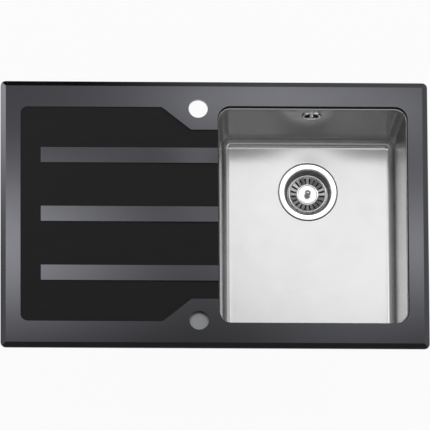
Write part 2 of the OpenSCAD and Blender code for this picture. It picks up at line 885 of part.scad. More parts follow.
module hose_nut_upper() {
    color(plastic_colour)
        at_overflow()
            translate([0, -hose_end_drop, elbow_tail_axis])
                rotate([90, 0, 0])
                    hose_nut();
}

module hose_nut_lower() {
    color(plastic_colour)
        at_waste()
            translate([0, inlet_reach, inlet_z])
                rotate([-90, 0, 0])
                    hose_nut();
}

// Angle of the hose's direction above the horizontal, at a distance along it
function hose_angle(s) =
    s < hose_run_1 ? 0 :
    s < hose_run_1 + hose_arc ? hose_turn * (s - hose_run_1) / hose_arc : hose_turn;

// Place of the hose's middle at a distance along it, as depth and height
function hose_place(s) =
    let (bend_at = hose_start + [hose_run_1, 0], a = hose_angle(s))
    s < hose_run_1 ? hose_start + [s, 0] :
    s < hose_run_1 + hose_arc ? bend_at + hose_bend_r * [sin(a), 1 - cos(a)] :
    bend_at + hose_bend_r * [sin(a), 1 - cos(a)] + (s - hose_run_1 - hose_arc) * [cos(a), sin(a)];

// One ring of the hose's wall, square to its run
function hose_ring(s, r) =
    let (a = hose_angle(s), p = hose_place(s))
    [for (k = [0:hose_sides - 1])
        let (t = (k + 0.5) * 360 / hose_sides, up = r * sin(t))
        [bowl_x + r * cos(t), p.x - up * sin(a), p.y + up * cos(a)]];

// Faces between two rings of points that start at the given indices
function band(i, j) =
    [for (k = [0:hose_sides - 1])
        let (m = (k + 1) % hose_sides)
        each [[i + k, j + m, j + k], [i + k, i + m, j + m]]];

module overflow_hose() {
    rings = 2 * hose_ribs;
    step = hose_length / (rings - 1);
    bore_rings = ceil(hose_ribs / 2);
    bore_step = hose_length / (bore_rings - 1);
    outer = [for (i = [0:rings - 1]) each hose_ring(i * step, i % 2 == 0 ? hose_root_r : hose_rib_r)];
    inner = [for (i = [0:bore_rings - 1]) each hose_ring(i * bore_step, hose_bore_r)];
    bore = rings * hose_sides;
    bore_last = bore + (bore_rings - 1) * hose_sides;
    color(plastic_colour)
        polyhedron(concat(outer, inner), concat(
            [for (i = [0:rings - 2]) each band(i * hose_sides, (i + 1) * hose_sides)],
            [for (i = [bore:hose_sides:bore_last - 1]) each band(i + hose_sides, i)],
            band(bore, 0),
            band(bore - hose_sides, bore_last)
        ));
}

// The strainer cup: a polished flange that turns down into a dished cup
module strainer_cup() {
    slot_from = bolt_head_r + cup_slot_land;
    slot_to = seal_lip_r - seal_lip_t - cup_slot_land;
    mouth = [cup_mouth_r + cup_bend, cup_top_z - cup_bend];
    low = [cup_floor_r - cup_bend, cup_floor_z + cup_bend];
    face = concat(
        [[cup_flange_r - cup_t / 2, cup_top_z]],
        arc(mouth, cup_bend, 90, 180, bend_steps),
        arc(low, cup_bend, 0, -90, bend_steps)
    );
    back = concat(
        arc(low, cup_bend + cup_t, -90, 0, bend_steps),
        arc(mouth, cup_bend - cup_t, 180, 90, bend_steps),
        [[cup_flange_r, cup_under_z], [cup_flange_r, cup_top_z - cup_t / 2]]
    );
    color(polish_colour)
        at_waste()
            difference() {
                rotate_extrude()
                    polygon(concat(face, [[0, cup_floor_z], [0, cup_floor_z - cup_t]], back));
                translate([0, 0, cup_floor_z - cup_t - over])
                    cylinder(r = bolt_r + loose_fit / 2, h = cup_t + 2 * over);
                for (i = [0:cup_slots - 1])
                    rotate(i * 360 / cup_slots)
                        translate([slot_from, -cup_slot_w / 2, cup_floor_z - cup_t - over])
                            cube([slot_to - slot_from, cup_slot_w, cup_t + 2 * over]);
            }
}

module waste_top_gasket() {
    color(rubber_colour)
        at_waste()
            ring(cup_flange_r - gasket_inset, waste_hole_r + gasket_inset / 2, seat_z, cup_under_z);
}

module waste_low_gasket() {
    color(rubber_colour)
        at_waste()
            ring(body_flange_r - gasket_inset / 2, waste_hole_r + gasket_inset, body_top_z, bowl_under_z);
}

// A fin that stiffens the body's flange from below
module body_gusset() {
    low = body_top_z - body_flange_t;
    translate([0, gusset_t / 2, 0])
        rotate([90, 0, 0])
            linear_extrude(height = gusset_t)
                polygon([
                    [body_low_r - gusset_root, low + gusset_root],
                    [body_flange_r - gusset_root, low + gusset_root],
                    [body_flange_r - gusset_root, low - gusset_root],
                    [body_low_r, low - gusset_h],
                    [body_low_r - gusset_root, low - gusset_h]
                ]);
}

// The body under the bowl: chamber, overflow inlet and bolt boss on ribs
module waste_body() {
    rib_reach = chamber_r + rib_sink;
    color(plastic_colour)
        at_waste()
            difference() {
                union() {
                    difference() {
                        union() {
                            rotate_extrude()
                                polygon([
                                    [0, body_top_z],
                                    [body_flange_r, body_top_z],
                                    [body_flange_r, body_top_z - body_flange_t],
                                    [body_top_r, body_top_z - body_flange_t - body_fillet],
                                    [body_low_r, chamber_floor_z],
                                    [outlet_r + outlet_shoulder, body_low_z + body_fillet],
                                    [outlet_r, body_low_z],
                                    [0, body_low_z]
                                ]);
                            for (i = [0:gusset_count - 1])
                                rotate((i + 0.5) * 360 / gusset_count)
                                    body_gusset();
                            translate([0, 0, inlet_z])
                                rotate([-90, 0, 0]) {
                                    cylinder(r = collar_r, h = inlet_reach);
                                    cylinder(r = tail_r, h = inlet_reach + tail_l);
                                }
                        }
                        rotate_extrude()
                            polygon([
                                [0, body_top_z + over],
                                [body_mouth_r, body_top_z + over],
                                [body_mouth_r, body_top_z - body_flange_t],
                                [chamber_r, chamber_floor_z + body_fillet],
                                [outlet_bore_r, chamber_low_z],
                                [outlet_bore_r, body_low_z - over],
                                [0, body_low_z - over]
                            ]);
                        translate([0, 0, inlet_z])
                            rotate([-90, 0, 0])
                                cylinder(r = tail_bore_r, h = inlet_reach + tail_l + over);
                    }
                    translate([0, 0, body_low_z])
                        cylinder(r = boss_r, h = boss_h);
                    intersection() {
                        for (a = rib_angles)
                            rotate(a)
                                translate([0, -rib_t / 2, body_low_z])
                                    cube([rib_reach, rib_t, rib_h]);
                        rotate_extrude()
                            polygon([
                                [0, body_low_z + rib_h],
                                [rib_reach, body_low_z + rib_h],
                                [rib_reach, chamber_floor_z + rib_sink],
                                [outlet_bore_r + rib_sink, chamber_low_z - rib_sink],
                                [outlet_bore_r + rib_sink, body_low_z],
                                [0, body_low_z]
                            ]);
                    }
                }
                translate([0, 0, body_low_z - over])
                    cylinder(r = bolt_r + thread_fit, h = boss_h + 2 * over);
            }
}

// The outlet pipe welded on under the body, shown without its thread
module waste_outlet() {
    color(plastic_colour)
        at_waste()
            ring(outlet_r, outlet_bore_r, outlet_end_z, body_low_z);
}

// The central bolt, hollow for the basket's spindle
module waste_bolt() {
    color(polish_colour)
        at_waste()
            difference() {
                union() {
                    translate([0, 0, cup_floor_z])
                        cylinder(r = bolt_head_r, h = bolt_head_h);
                    translate([0, 0, bolt_under_z])
                        cylinder(r = bolt_r, h = cup_floor_z - bolt_under_z + over);
                }
                translate([0, 0, bolt_bore_end_z])
                    cylinder(r = spindle_r + running_fit, h = cup_floor_z - bolt_bore_end_z + bolt_head_h + over);
            }
}

// The basket: a rolled rim, a slotted dish and a raised centre
module basket() {
    dish_in = [slot_inner_r - slot_land, basket_floor_z];
    dish_out = [slot_outer_r + rim_bend, basket_rim_z - dish_lip];
    centre = basket_centre_r - centre_slope;
    under = [0, -basket_t];
    color(polish_colour)
        at_waste()
            difference() {
                rotate_extrude()
                    polygon([
                        [0, knob_base_z],
                        [centre, knob_base_z],
                        [basket_centre_r, basket_floor_z],
                        dish_in,
                        dish_out,
                        [slot_outer_r + rim_hem, basket_rim_z],
                        [basket_r - rim_bend, basket_rim_z],
                        [basket_r, basket_rim_z - rim_bend],
                        [basket_r, basket_rim_z - rim_fold],
                        [basket_r - basket_t, basket_rim_z - rim_fold],
                        [basket_r - basket_t, basket_rim_z - basket_t],
                        [slot_outer_r + rim_hem + centre_slope, basket_rim_z - basket_t],
                        dish_out + [basket_t / 2, 0] + under,
                        dish_in + [basket_t / 2, 0] + under,
                        [basket_centre_r - basket_t / 2, basket_under_z],
                        [centre - basket_t / 2, knob_base_z - basket_t],
                        [0, knob_base_z - basket_t]
                    ]);
                translate([0, 0, basket_under_z - over])
                    cylinder(r = spindle_r + running_fit, h = basket_h);
                for (i = [0:slot_count - 1])
                    rotate((i + 0.5) * 360 / slot_count)
                        basket_slot();
            }
}

// A slot that narrows a little towards the basket's centre
module basket_slot() {
    half = slot_w / 2;
    narrow = half * slot_taper;
    translate([0, 0, basket_under_z - over])
        linear_extrude(height = basket_h)
            union() {
                translate([slot_inner_r + narrow, -narrow])
                    square([slot_outer_r - slot_inner_r - 2 * half, 2 * narrow]);
                translate([slot_inner_r + narrow, 0])
                    circle(r = narrow);
                translate([slot_outer_r - half, 0])
                    circle(r = half);
            }
}

// The seal under the basket: a hub on the spindle and a lip that closes on the cup's floor
module basket_seal() {
    top = knob_base_z - basket_t;
    lip_z = cup_floor_z + seat_gap;
    color(rubber_colour)
        at_waste()
            difference() {
                rotate_extrude()
                    polygon([
                        [spindle_r, top],
                        [basket_centre_r - 2 * centre_slope, top],
                        [basket_centre_r - centre_slope, basket_under_z],
                        [seal_lip_r - seal_lip_t, basket_under_z - seal_lip_bevel],
                        [seal_lip_r, lip_z + seal_lip_edge],
                        [seal_lip_r - seal_lip_bevel, lip_z],
                        [seal_lip_r - seal_lip_t, lip_z],
                        [seal_hub_r, basket_under_z - seal_lip_edge - seal_lip_bevel],
                        [seal_hub_r, seal_low_z],
                        [spindle_r, seal_low_z]
                    ]);
                translate([0, 0, cup_floor_z])
                    cylinder(r = spindle_r + running_fit, h = basket_h + cup_depth);
            }
}

// The basket's ball knob on its stem
module basket_knob() {
    color(polish_colour)
        at_waste()
            difference() {
                union() {
                    translate([0, 0, knob_base_z])
                        cylinder(r = knob_stem_r, h = knob_h - knob_r);
                    translate([0, 0, knob_ball_z])
                        sphere(r = knob_r);
                    translate([0, 0, knob_base_z])
                        cylinder(r1 = knob_stem_r + knob_foot, r2 = knob_stem_r, h = knob_foot);
                }
                translate([0, 0, knob_base_z - over])
                    cylinder(r = spindle_r + running_fit, h = knob_h - knob_r + over);
                translate([0, 0, knob_base_z - 2 * knob_r])
                    cylinder(r = 2 * knob_r, h = 2 * knob_r);
            }
}

// The spindle that guides the basket in the bolt's bore
module basket_spindle() {
    tip_z = spindle_end_z + spindle_tip_h;
    color(steel_colour)
        at_waste()
            difference() {
                union() {
                    translate([0, 0, tip_z])
                        cylinder(r = spindle_r, h = knob_ball_z - tip_z);
                    translate([0, 0, spindle_end_z])
                        cylinder(r1 = spindle_r - spindle_tip_h, r2 = spindle_r, h = spindle_tip_h);
                }
                translate([0, 0, spindle_end_z + groove_up])
                    ring(spindle_r + over, spindle_r - groove_d, 0, groove_h);
            }
}

module at_clamp(i) {
    translate([CLAMPS[i].x, CLAMPS[i].y, 0])
        rotate(CLAMPS[i][2])
            children();
}

// A bracket spot-welded inside the carrier's edge, with its screw on the local axis
module clamp_bracket() {
    difference() {
        translate([0, bracket_w / 2, 0])
            rotate([90, 0, 0])
                linear_extrude(height = bracket_w)
                    polygon(rounded(
                        [[clamp_inset, carrier_low], [clamp_inset - bracket_t, carrier_low],
                         [clamp_inset - bracket_t, -bracket_drop + bracket_t],
                         [-bracket_w / 2, -bracket_drop + bracket_t],
                         [-bracket_w / 2, -bracket_drop], [clamp_inset, -bracket_drop]],
                        [0, 0, bracket_bend, 0, 0, bracket_bend + bracket_t]));
        translate([0, 0, -bracket_drop - over])
            cylinder(r = clamp_screw_r + thread_fit, h = bracket_t + 2 * over);
    }
}

module clamp_brackets() {
    color("lightsteelblue")
        for (i = [0:len(CLAMPS) - 1])
            at_clamp(i)
                clamp_bracket();
}

module clamp_screw(i) {
    slot_low = clamp_head_top - clamp_head_h;
    color("lightgray")
        at_clamp(i)
            difference() {
                union() {
                    translate([0, 0, clamp_head_top - over])
                        cylinder(r = clamp_screw_r, h = clamp_tip_z - screw_tip_h - clamp_head_top + over);
                    translate([0, 0, clamp_tip_z - screw_tip_h])
                        cylinder(r1 = clamp_screw_r, r2 = clamp_screw_r - screw_tip_h, h = screw_tip_h);
                    translate([0, 0, slot_low])
                        cylinder(r = clamp_screw_r * hex_factor, h = clamp_head_h, $fn = 6);
                }
                translate([-clamp_screw_r * 2, -screw_slot_w / 2, slot_low - over])
                    cube([clamp_screw_r * 4, screw_slot_w, over + screw_slot_w]);
            }
}

// A claw lying along the edge, to swing out under the worktop
module clamp_claw(i) {
    tail = claw_w / 2;
    tip = [claw_reach, claw_z + claw_tip_h];
    top = claw_z + claw_t;
    pitch = claw_tooth;
    color("lightsteelblue")
        at_clamp(i)
            rotate(-90)
                difference() {
                    translate([0, claw_w / 2, 0])
                        rotate([90, 0, 0])
                            linear_extrude(height = claw_w)
                                polygon([
                                    [-tail, claw_z],
                                    [claw_reach - pitch / 2, claw_z],
                                    [claw_reach, claw_z + pitch / 2],
                                    tip,
                                    tip + [-pitch / 2, -pitch],
                                    tip + [-pitch, 0],
                                    tip + [-pitch * 3 / 2, -pitch],
                                    tip + [-pitch * 2, 0],
                                    [claw_reach - pitch * 5 / 2, top + pitch / 2],
                                    [claw_reach - pitch * 3, top],
                                    [-tail, top]
                                ]);
                    translate([0, 0, claw_z - over])
                        cylinder(r = clamp_screw_r + running_fit, h = claw_t + 2 * over);
                }
}

glass_top();
glass_bond();
rim_seal();
carrier_sheet();
carrier_edge();
bowl();
sound_pads();
overflow_rose();
overflow_screw();
overflow_gasket();
overflow_elbow();
hose_nut_upper();
overflow_hose();
hose_nut_lower();
strainer_cup();
waste_top_gasket();
waste_low_gasket();
waste_body();
waste_outlet();
waste_bolt();
basket();
basket_seal();
basket_knob();
basket_spindle();
clamp_brackets();
clamp_screw(0);  // clamp_screw_1
clamp_screw(1);  // clamp_screw_2
clamp_screw(2);  // clamp_screw_3
clamp_screw(3);  // clamp_screw_4
clamp_screw(4);  // clamp_screw_5
clamp_screw(5);  // clamp_screw_6
clamp_screw(6);  // clamp_screw_7
clamp_screw(7);  // clamp_screw_8
clamp_claw(0);  // clamp_claw_1
clamp_claw(1);  // clamp_claw_2
clamp_claw(2);  // clamp_claw_3
clamp_claw(3);  // clamp_claw_4
clamp_claw(4);  // clamp_claw_5
clamp_claw(5);  // clamp_claw_6
clamp_claw(6);  // clamp_claw_7
clamp_claw(7);  // clamp_claw_8
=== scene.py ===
"""Looks of an inset kitchen sink: bevelled glass panel, drawn steel bowl, basket strainer and overflow."""

import math

import bmesh
import bpy
import numpy as np
from mathutils import Matrix, Vector


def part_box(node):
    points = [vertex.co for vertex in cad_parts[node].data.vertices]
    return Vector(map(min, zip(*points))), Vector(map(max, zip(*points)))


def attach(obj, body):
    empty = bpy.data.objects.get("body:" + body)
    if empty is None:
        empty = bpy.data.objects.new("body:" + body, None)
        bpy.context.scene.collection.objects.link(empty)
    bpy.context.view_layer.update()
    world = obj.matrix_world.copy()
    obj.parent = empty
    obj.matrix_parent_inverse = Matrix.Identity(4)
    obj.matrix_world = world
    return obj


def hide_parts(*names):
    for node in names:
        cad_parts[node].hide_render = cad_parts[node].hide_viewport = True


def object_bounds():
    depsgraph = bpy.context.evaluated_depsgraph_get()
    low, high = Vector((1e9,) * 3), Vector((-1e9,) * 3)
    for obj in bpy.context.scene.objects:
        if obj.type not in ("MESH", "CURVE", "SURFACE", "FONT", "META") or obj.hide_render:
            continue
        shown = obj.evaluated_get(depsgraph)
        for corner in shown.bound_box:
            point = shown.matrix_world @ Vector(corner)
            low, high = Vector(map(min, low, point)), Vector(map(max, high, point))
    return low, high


bl_info = {
    "name": "Kitchen sink",
    "version": (1, 0, 0),
    "blender": (4, 5, 0),
    "location": "View3D > Sidebar > Sink",
    "description": "Builds the looks of an inset glass and steel kitchen sink on its CAD frame",
    "category": "Object",
}

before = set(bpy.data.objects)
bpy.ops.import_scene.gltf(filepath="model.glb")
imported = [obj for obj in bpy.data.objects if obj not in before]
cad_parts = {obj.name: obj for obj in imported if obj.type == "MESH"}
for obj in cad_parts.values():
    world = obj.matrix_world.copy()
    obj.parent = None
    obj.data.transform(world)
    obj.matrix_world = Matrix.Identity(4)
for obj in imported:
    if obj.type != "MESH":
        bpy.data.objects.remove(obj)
CAD_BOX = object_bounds()
MM = 0.001


def node_middle(node):
    low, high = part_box(node)
    return (low + high) / 2


WASTE = node_middle("strainer_cup")
WASTE_AXIS = (WASTE.x, WASTE.y)
BOWL_LOW, BOWL_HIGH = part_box("bowl")

# Distances under which two points are one: in made meshes, and in CAD meshes and the basket
SAME_POINT = 1e-7
SAME_CAD_POINT = 2e-6

# The sink's materials by name, filled by the stage's operator
FINISHES = {}


# Sizes and colours

def length(name, text, size, low=0.0):
    """A length given in millimetres and kept in metres."""
    return bpy.props.FloatProperty(name=name, description=text, default=size * MM, min=low * MM,
                                   unit="LENGTH", precision=5)


def turn(name, text, degrees):
    return bpy.props.FloatProperty(name=name, description=text, default=math.radians(degrees),
                                   unit="ROTATION")


def share(name, text, value):
    return bpy.props.FloatProperty(name=name, description=text, default=value, min=0.0, max=1.0)


def tint(name, text, value):
    return bpy.props.FloatVectorProperty(name=name, description=text, default=value, min=0.0, max=1.0,
                                         subtype="COLOR")


def point(name, text, place):
    """A place given in millimetres and kept in metres."""
    return bpy.props.FloatVectorProperty(name=name, description=text, default=[v * MM for v in place],
                                         size=len(place), unit="LENGTH", precision=5)


class SinkPanelSizes(bpy.types.PropertyGroup):
    arris: length("Arris", "Width of the polished arris on the glass edges", 0.35)
    recess_top: length("Recess level", "Highest level of the ground recess floor", 8.7)
    small_face: bpy.props.FloatProperty(
        name="Small face", description="Area under which a sloping face is shaded smooth",
        default=1e-4, min=0.0, unit="AREA", precision=6)


class SinkBowlSizes(bpy.types.PropertyGroup):
    corner: length("Corner radius", "Inside radius of the bowl's upright corners", 20)
    lip: length("Lip radius", "Radius of the rolled lip", 4)
    heel: length("Heel radius", "Inside radius of the upright corners where the walls end", 17)
    floor_bend: length("Floor radius", "Radius between the walls and the floor", 15)
    draft: turn("Draft", "Lean of the walls", 4.2)
    sheet: length("Sheet", "Thickness of the steel sheet", 1)
    flange: length("Flange", "Width of the welded flange", 8)
    drop: length("Drop", "Depth from the seat plane to the floor's edge", 180)
    fall: length("Fall", "Fall of the floor towards the waste", 2.5)
    seat_radius: length("Seat radius", "Radius of the recess round the waste", 53.5)
    seat_depth: length("Seat depth", "Depth of the recess round the waste", 3)
    seat_bend: length("Seat bend", "Reach of the bend at the recess's rim", 1.5)
    hole_radius: length("Waste hole", "Radius of the hole in the floor", 45)


class SinkWasteSizes(bpy.types.PropertyGroup):
    flange: length("Cup flange", "Outside radius of the strainer cup's flange", 52.5)
    mouth: length("Cup mouth", "Inside radius of the cup at its mouth", 42)
    cup_floor: length("Cup floor", "Inside radius of the cup at its floor", 39.5)
    cup_sheet: length("Cup sheet", "Thickness of the cup's sheet", 1.2)
    cup_bend: length("Cup bend", "Inside radius of the cup's bends", 2.5)
    cup_hole: length("Bolt hole", "Radius of the hole for the bolt in the cup's floor", 5.2)
    drains: bpy.props.IntProperty(name="Drains", description="Slots in the cup's floor", default=6, min=3)
    drain_inner: length("Drain end", "Radius where the cup's drain slots end", 10)
    drain_outer: length("Drain start", "Radius where the cup's drain slots start", 20)
    drain_width: length("Drain width", "Width of the cup's drain slots", 6)
    basket: length("Basket", "Outside radius of the basket's rim", 35.5)
    slots: bpy.props.IntProperty(name="Slots", description="Slots round the basket", default=20, min=8)
    basket_sheet: length("Basket sheet", "Thickness of the basket's sheet", 0.8)
    basket_depth: length("Basket depth", "Depth of the basket from its rim to its floor", 7)
    spindle_hole: length("Spindle hole", "Radius of the hole for the spindle in the basket", 3.05)
    slot_outer: length("Slot start", "Radius where the slots start", 31.5)
    slot_inner: length("Slot end", "Radius where the slots end", 20)
    centre: length("Basket centre", "Radius of the basket's raised centre", 17.4)
    slot_width: length("Slot width", "Width of a slot at its outer end", 3.2)
    knob: length("Knob", "Radius of the knob", 6)
    knob_height: length("Knob height", "Height of the knob over the basket", 17)
    stem: length("Stem", "Radius of the stem under the knob", 4.2)
    foot: length("Foot", "Radius of the knob's flared foot", 5.6)
    thread_root: length("Thread root", "Radius of the outlet's thread at its root", 23.92)
    thread_crest: length("Thread crest", "Radius of the outlet's thread at its crest", 24.75)
    thread_inside: length("Thread inside", "Radius of the face inside the outlet's thread", 23.5)
    thread_start: length("Thread start", "Height of the thread's lower end over the outlet's end", 1.2)
    thread_end: length("Thread end", "Height of the thread's upper end over the outlet's end", 18)
    thread_fade: length("Thread fade", "Height over which the thread fades at its ends", 1.5)
    thread_pitch: length("Thread pitch", "Pitch of the outlet's thread", 2.2, 0.5)


class SinkOverflowSizes(bpy.types.PropertyGroup):
    place: point("Place", "Middle of the overflow on the back wall", (180, 197.845, -32))
    rose: length("Rose", "Outside radius of the rose", 18.3)
    opening: length("Opening", "Radius of the rose's opening", 12.5)
    thickness: length("Thickness", "Thickness of the rose", 2.4)
    edge: length("Rose edge", "Round on the rose's edges", 0.8)
    bar: length("Bar", "Width of the bar across the rose", 4.6)
    boss: length("Boss", "Radius of the bar's boss round the screw", 4.4)
    hole: length("Hole", "Radius of the hole in the wall", 14)
    rib: length("Hose rib", "Outside radius of the hose's ribs", 12)
    root: length("Hose root", "Outside radius between the ribs", 10.6)
    bore: length("Hose bore", "Radius of the hose's bore", 9.4)
    bend: length("Hose bend", "Radius of the hose's bend", 40)
    pitch: length("Hose pitch", "Distance from rib to rib", 4, 1)
    start: point("Hose start", "Lower end of the hose, as depth and height", (154, -214))
    end: point("Hose end", "Upper end of the hose, as depth and height", (215.279, -60.854))


class SinkClampSizes(bpy.types.PropertyGroup):
    shaft: length("Screw", "Outside radius of the clamp screws", 3)
    pitch: length("Screw pitch", "Pitch of the clamp screws' thread", 1, 0.4)
    depth: length("Thread depth", "Depth of the clamp screws' thread", 0.45)
    head: length("Head", "Radius of the screw heads across their corners", 5.7)
    head_height: length("Head height", "Height of the screw heads", 4)
    slot: length("Screw slot", "Width and depth of the slot in a screw head", 1.2)
    tip: length("Screw tip", "Width of the cone at a screw's tip", 1)
    arris: length("Arris", "Round on the pressed edges", 0.3)


class SinkFinishes(bpy.types.PropertyGroup):
    glass: tint("Glass", "Body colour of the dark glass", (0.0075, 0.0075, 0.0090))
    ground: tint("Ground glass", "Colour of the milled drainer", (0.0064, 0.0064, 0.0068))
    bowl: tint("Bowl steel", "Colour of the satin bowl", (0.52, 0.52, 0.52))
    polish: tint("Polished steel", "Colour of the polished strainer", (0.78, 0.78, 0.78))
    mill: tint("Mill steel", "Colour of the carrier sheet", (0.30, 0.303, 0.307))
    # Painted shade: a near black steel on the cup's floor under the basket, which stands in for the shade
    # seen through the basket's slots
    dull: tint("Painted shade steel", "Colour of the strainer cup's floor under the basket", (0.03, 0.03, 0.03))
    zinc: tint("Zinc", "Colour of the plated clamps", (0.56, 0.58, 0.60))
    plastic: tint("Plastic", "Colour of the waste's moulded plastic", (0.030, 0.031, 0.033))
    hose: tint("Hose", "Colour of the overflow hose", (0.34, 0.35, 0.36))
    rubber: tint("Rubber", "Colour of the seals", (0.016, 0.016, 0.017))
    pad: tint("Damping pad", "Colour of the sound pads", (0.075, 0.078, 0.082))
    glue: tint("Adhesive", "Colour of the adhesive bed", (0.012, 0.012, 0.012))


class SinkStage(bpy.types.PropertyGroup):
    distance: length("Camera distance", "Distance from the camera to the panel", 18000)
    picture: length("Picture width", "Width that the picture spans at the panel", 782.9)
    view: bpy.props.FloatVectorProperty(name="View", description="Direction from the panel to the camera",
                                        subtype="DIRECTION", default=(-0.0402, -0.2477, 0.9680))
    roll: turn("Roll", "Turn of the camera about its own axis", 0.29)
    aim: point("Aim", "Point that the camera looks at", (0.5, -1.5, 9))
    sky: share("Sky", "Radiance of the surround as seen in reflections", 1.0)
    fill: share("Fill", "Radiance of the surround on plain surfaces", 0.62)


GROUPS = {"sink_panel": SinkPanelSizes, "sink_bowl": SinkBowlSizes, "sink_waste": SinkWasteSizes,
          "sink_overflow": SinkOverflowSizes, "sink_clamp": SinkClampSizes, "sink_finish": SinkFinishes,
          "sink_stage": SinkStage}


# Surfaces

def make_object(name, points, faces, sharp=30.0, closed=True, body="sink"):
    """An object from points and faces; a closed one gets merged doubles, outward faces and sharp edges."""
    corners = faces if isinstance(faces, list) else faces.tolist()
    mesh = bpy.data.meshes.new(name)
    mesh.from_pydata(points.reshape(-1, 3).tolist(), [], corners)
    if closed:
        bm = bmesh.new()
        bm.from_mesh(mesh)
        bmesh.ops.remove_doubles(bm, verts=bm.verts, dist=SAME_POINT)
        bmesh.ops.recalc_face_normals(bm, faces=bm.faces)
        bm.to_mesh(mesh)
        bm.free()
    mesh.shade_smooth()
    if closed:
        mesh.set_sharp_from_angle(angle=math.radians(sharp))
    obj = bpy.data.objects.new(name, mesh)
    bpy.context.scene.collection.objects.link(obj)
    if body:
        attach(obj, body)
    return obj


def grid_faces(rows, columns, close_rows=False, close_columns=False, start=0):
    """Quads of a grid of points, row by row; a closed side joins its last line to its first."""
    i = np.arange(rows if close_rows else rows - 1)[:, None]
    j = np.arange(columns if close_columns else columns - 1)[None, :]
    i2, j2 = (i + 1) % rows, (j + 1) % columns
    here, next_row = i * columns, i2 * columns
    quads = np.stack(np.broadcast_arrays(here + j, here + j2, next_row + j2, next_row + j), -1)
    return quads.reshape(-1, 4) + start


def angles(sides):
    """The angles of one full turn in even steps, without the last."""
    return np.arange(sides) * 2 * np.pi / sides


def arc(centre, radius, start, stop, steps):
    """Points on an arc in a section plane: the centre plus the radius at even angles in degrees."""
    a = np.radians(np.linspace(start, stop, steps + 1))
    return np.stack([centre[0] + radius * np.cos(a), centre[1] + radius * np.sin(a)], -1)


def softened(points, radius, steps=4, closed=True):
    """A section polyline with each corner replaced by an arc-like curve.

    The corner at b becomes the quadratic curve from b + u d to b + v d, where u and v point to its
    neighbours and d is the radius, or 0.45 of the shorter side if that is less.
    """
    points = np.asarray(points, float)
    before, after = np.roll(points, 1, 0) - points, np.roll(points, -1, 0) - points
    reach = np.minimum(np.minimum(np.linalg.norm(before, axis=1), np.linalg.norm(after, axis=1)) * 0.45,
                       np.broadcast_to(radius, len(points)))
    u = before / np.maximum(np.linalg.norm(before, axis=1), 1e-12)[:, None] * reach[:, None]
    v = after / np.maximum(np.linalg.norm(after, axis=1), 1e-12)[:, None] * reach[:, None]
    t = np.linspace(0, 1, steps + 1)[None, :, None]
    curve = points[:, None] + (1 - t) ** 2 * u[:, None] + t ** 2 * v[:, None]
    if not closed:
        curve[0], curve[-1] = points[0], points[-1]
    return curve.reshape(-1, 2)


def round_points(centre, radius, angle, z):
    """A grid of points (cx + r cos t, cy + r sin t, z), with one height for each row."""
    x, y = centre[0] + radius * np.cos(angle), centre[1] + radius * np.sin(angle)
    return np.stack(np.broadcast_arrays(x, y, z + 0 * angle), -1)


def placed(points, matrix):
    """Points moved by a matrix."""
    return points @ np.array(matrix.to_3x3()).T + np.array(matrix.translation)


def turned(name, section, sides=96, centre=(0, 0), matrix=Matrix(), sharp=30.0, body="sink"):
    """A closed turned piece: a closed section (r, z) is carried round the centre's upright axis."""
    points = placed(round_points(centre, section[:, :1], angles(sides), section[:, 1:]), matrix)
    return make_object(name, points, grid_faces(len(section), sides, True, True), sharp, body=body)


def boxes(plans, low, high):
    """Points and faces of upright boxes on plans of four corners, between two levels."""
    points = np.concatenate([np.c_[plan, np.full(4, z)] for plan in plans for z in (low, high)])
    sides = np.array([(0, 3, 2, 1), (4, 5, 6, 7), (0, 1, 5, 4), (1, 2, 6, 5), (2, 3, 7, 6), (3, 0, 4, 7)])
    return points, np.concatenate([sides + 8 * k for k in range(len(plans))])


def wall_frame(scene):
    """The overflow's frame on the back wall: +Z points into the bowl and +Y up the wall."""
    lean = math.pi / 2 - scene.sink_bowl.draft
    return Matrix.Translation(Vector(scene.sink_overflow.place)) @ Matrix.Rotation(lean, 4, "X")


def cad_copy(node, name, body, arris):
    """A merged copy of a CAD node's mesh: flat triangles joined and sharp edges slightly rounded."""
    sharp = math.radians(30)
    flat = math.radians(0.4)
    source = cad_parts[node].data
    co = np.empty(len(source.vertices) * 3)
    source.vertices.foreach_get("co", co)
    corners = np.empty(len(source.loops), int)
    source.loops.foreach_get("vertex_index", corners)
    mesh = bpy.data.meshes.new(name)
    mesh.from_pydata(co.reshape(-1, 3).tolist(), [], corners.reshape(-1, 3).tolist())
    bm = bmesh.new()
    bm.from_mesh(mesh)
    bmesh.ops.remove_doubles(bm, verts=bm.verts, dist=SAME_CAD_POINT)
    bmesh.ops.dissolve_limit(bm, angle_limit=flat, verts=bm.verts, edges=bm.edges)
    bm.to_mesh(mesh)
    bm.free()
    mesh.shade_smooth()
    mesh.set_sharp_from_angle(angle=sharp)
    obj = bpy.data.objects.new(name, mesh)
    bpy.context.scene.collection.objects.link(obj)
    bevel = obj.modifiers.new("Arris", "BEVEL")
    bevel.width, bevel.segments, bevel.limit_method = arris, 2, "ANGLE"
    bevel.angle_limit, bevel.harden_normals = sharp, True
    bevel.miter_outer = "MITER_ARC"
    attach(obj, body)
    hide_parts(node)
    return obj


def cut_with(obj, cutter):
    """Cuts one mesh out of another, for good, and removes the cutter."""
    cut = obj.modifiers.new("Cut", "BOOLEAN")
    cut.operation, cut.object, cut.solver = "DIFFERENCE", cutter, "EXACT"
    graph = bpy.context.evaluated_depsgraph_get()
    made = bpy.data.meshes.new_from_object(obj.evaluated_get(graph))
    obj.modifiers.remove(cut)
    old, obj.data = obj.data, made
    bpy.data.meshes.remove(old)
    bpy.data.objects.remove(cutter)
    obj.data.set_sharp_from_angle(angle=math.radians(30))


def finish_piece(obj, slot, finish=None):
    """Gives a piece the slot's material, or another finish."""
    obj.data.materials.clear()
    obj.data.materials.append(FINISHES[finish or slot])


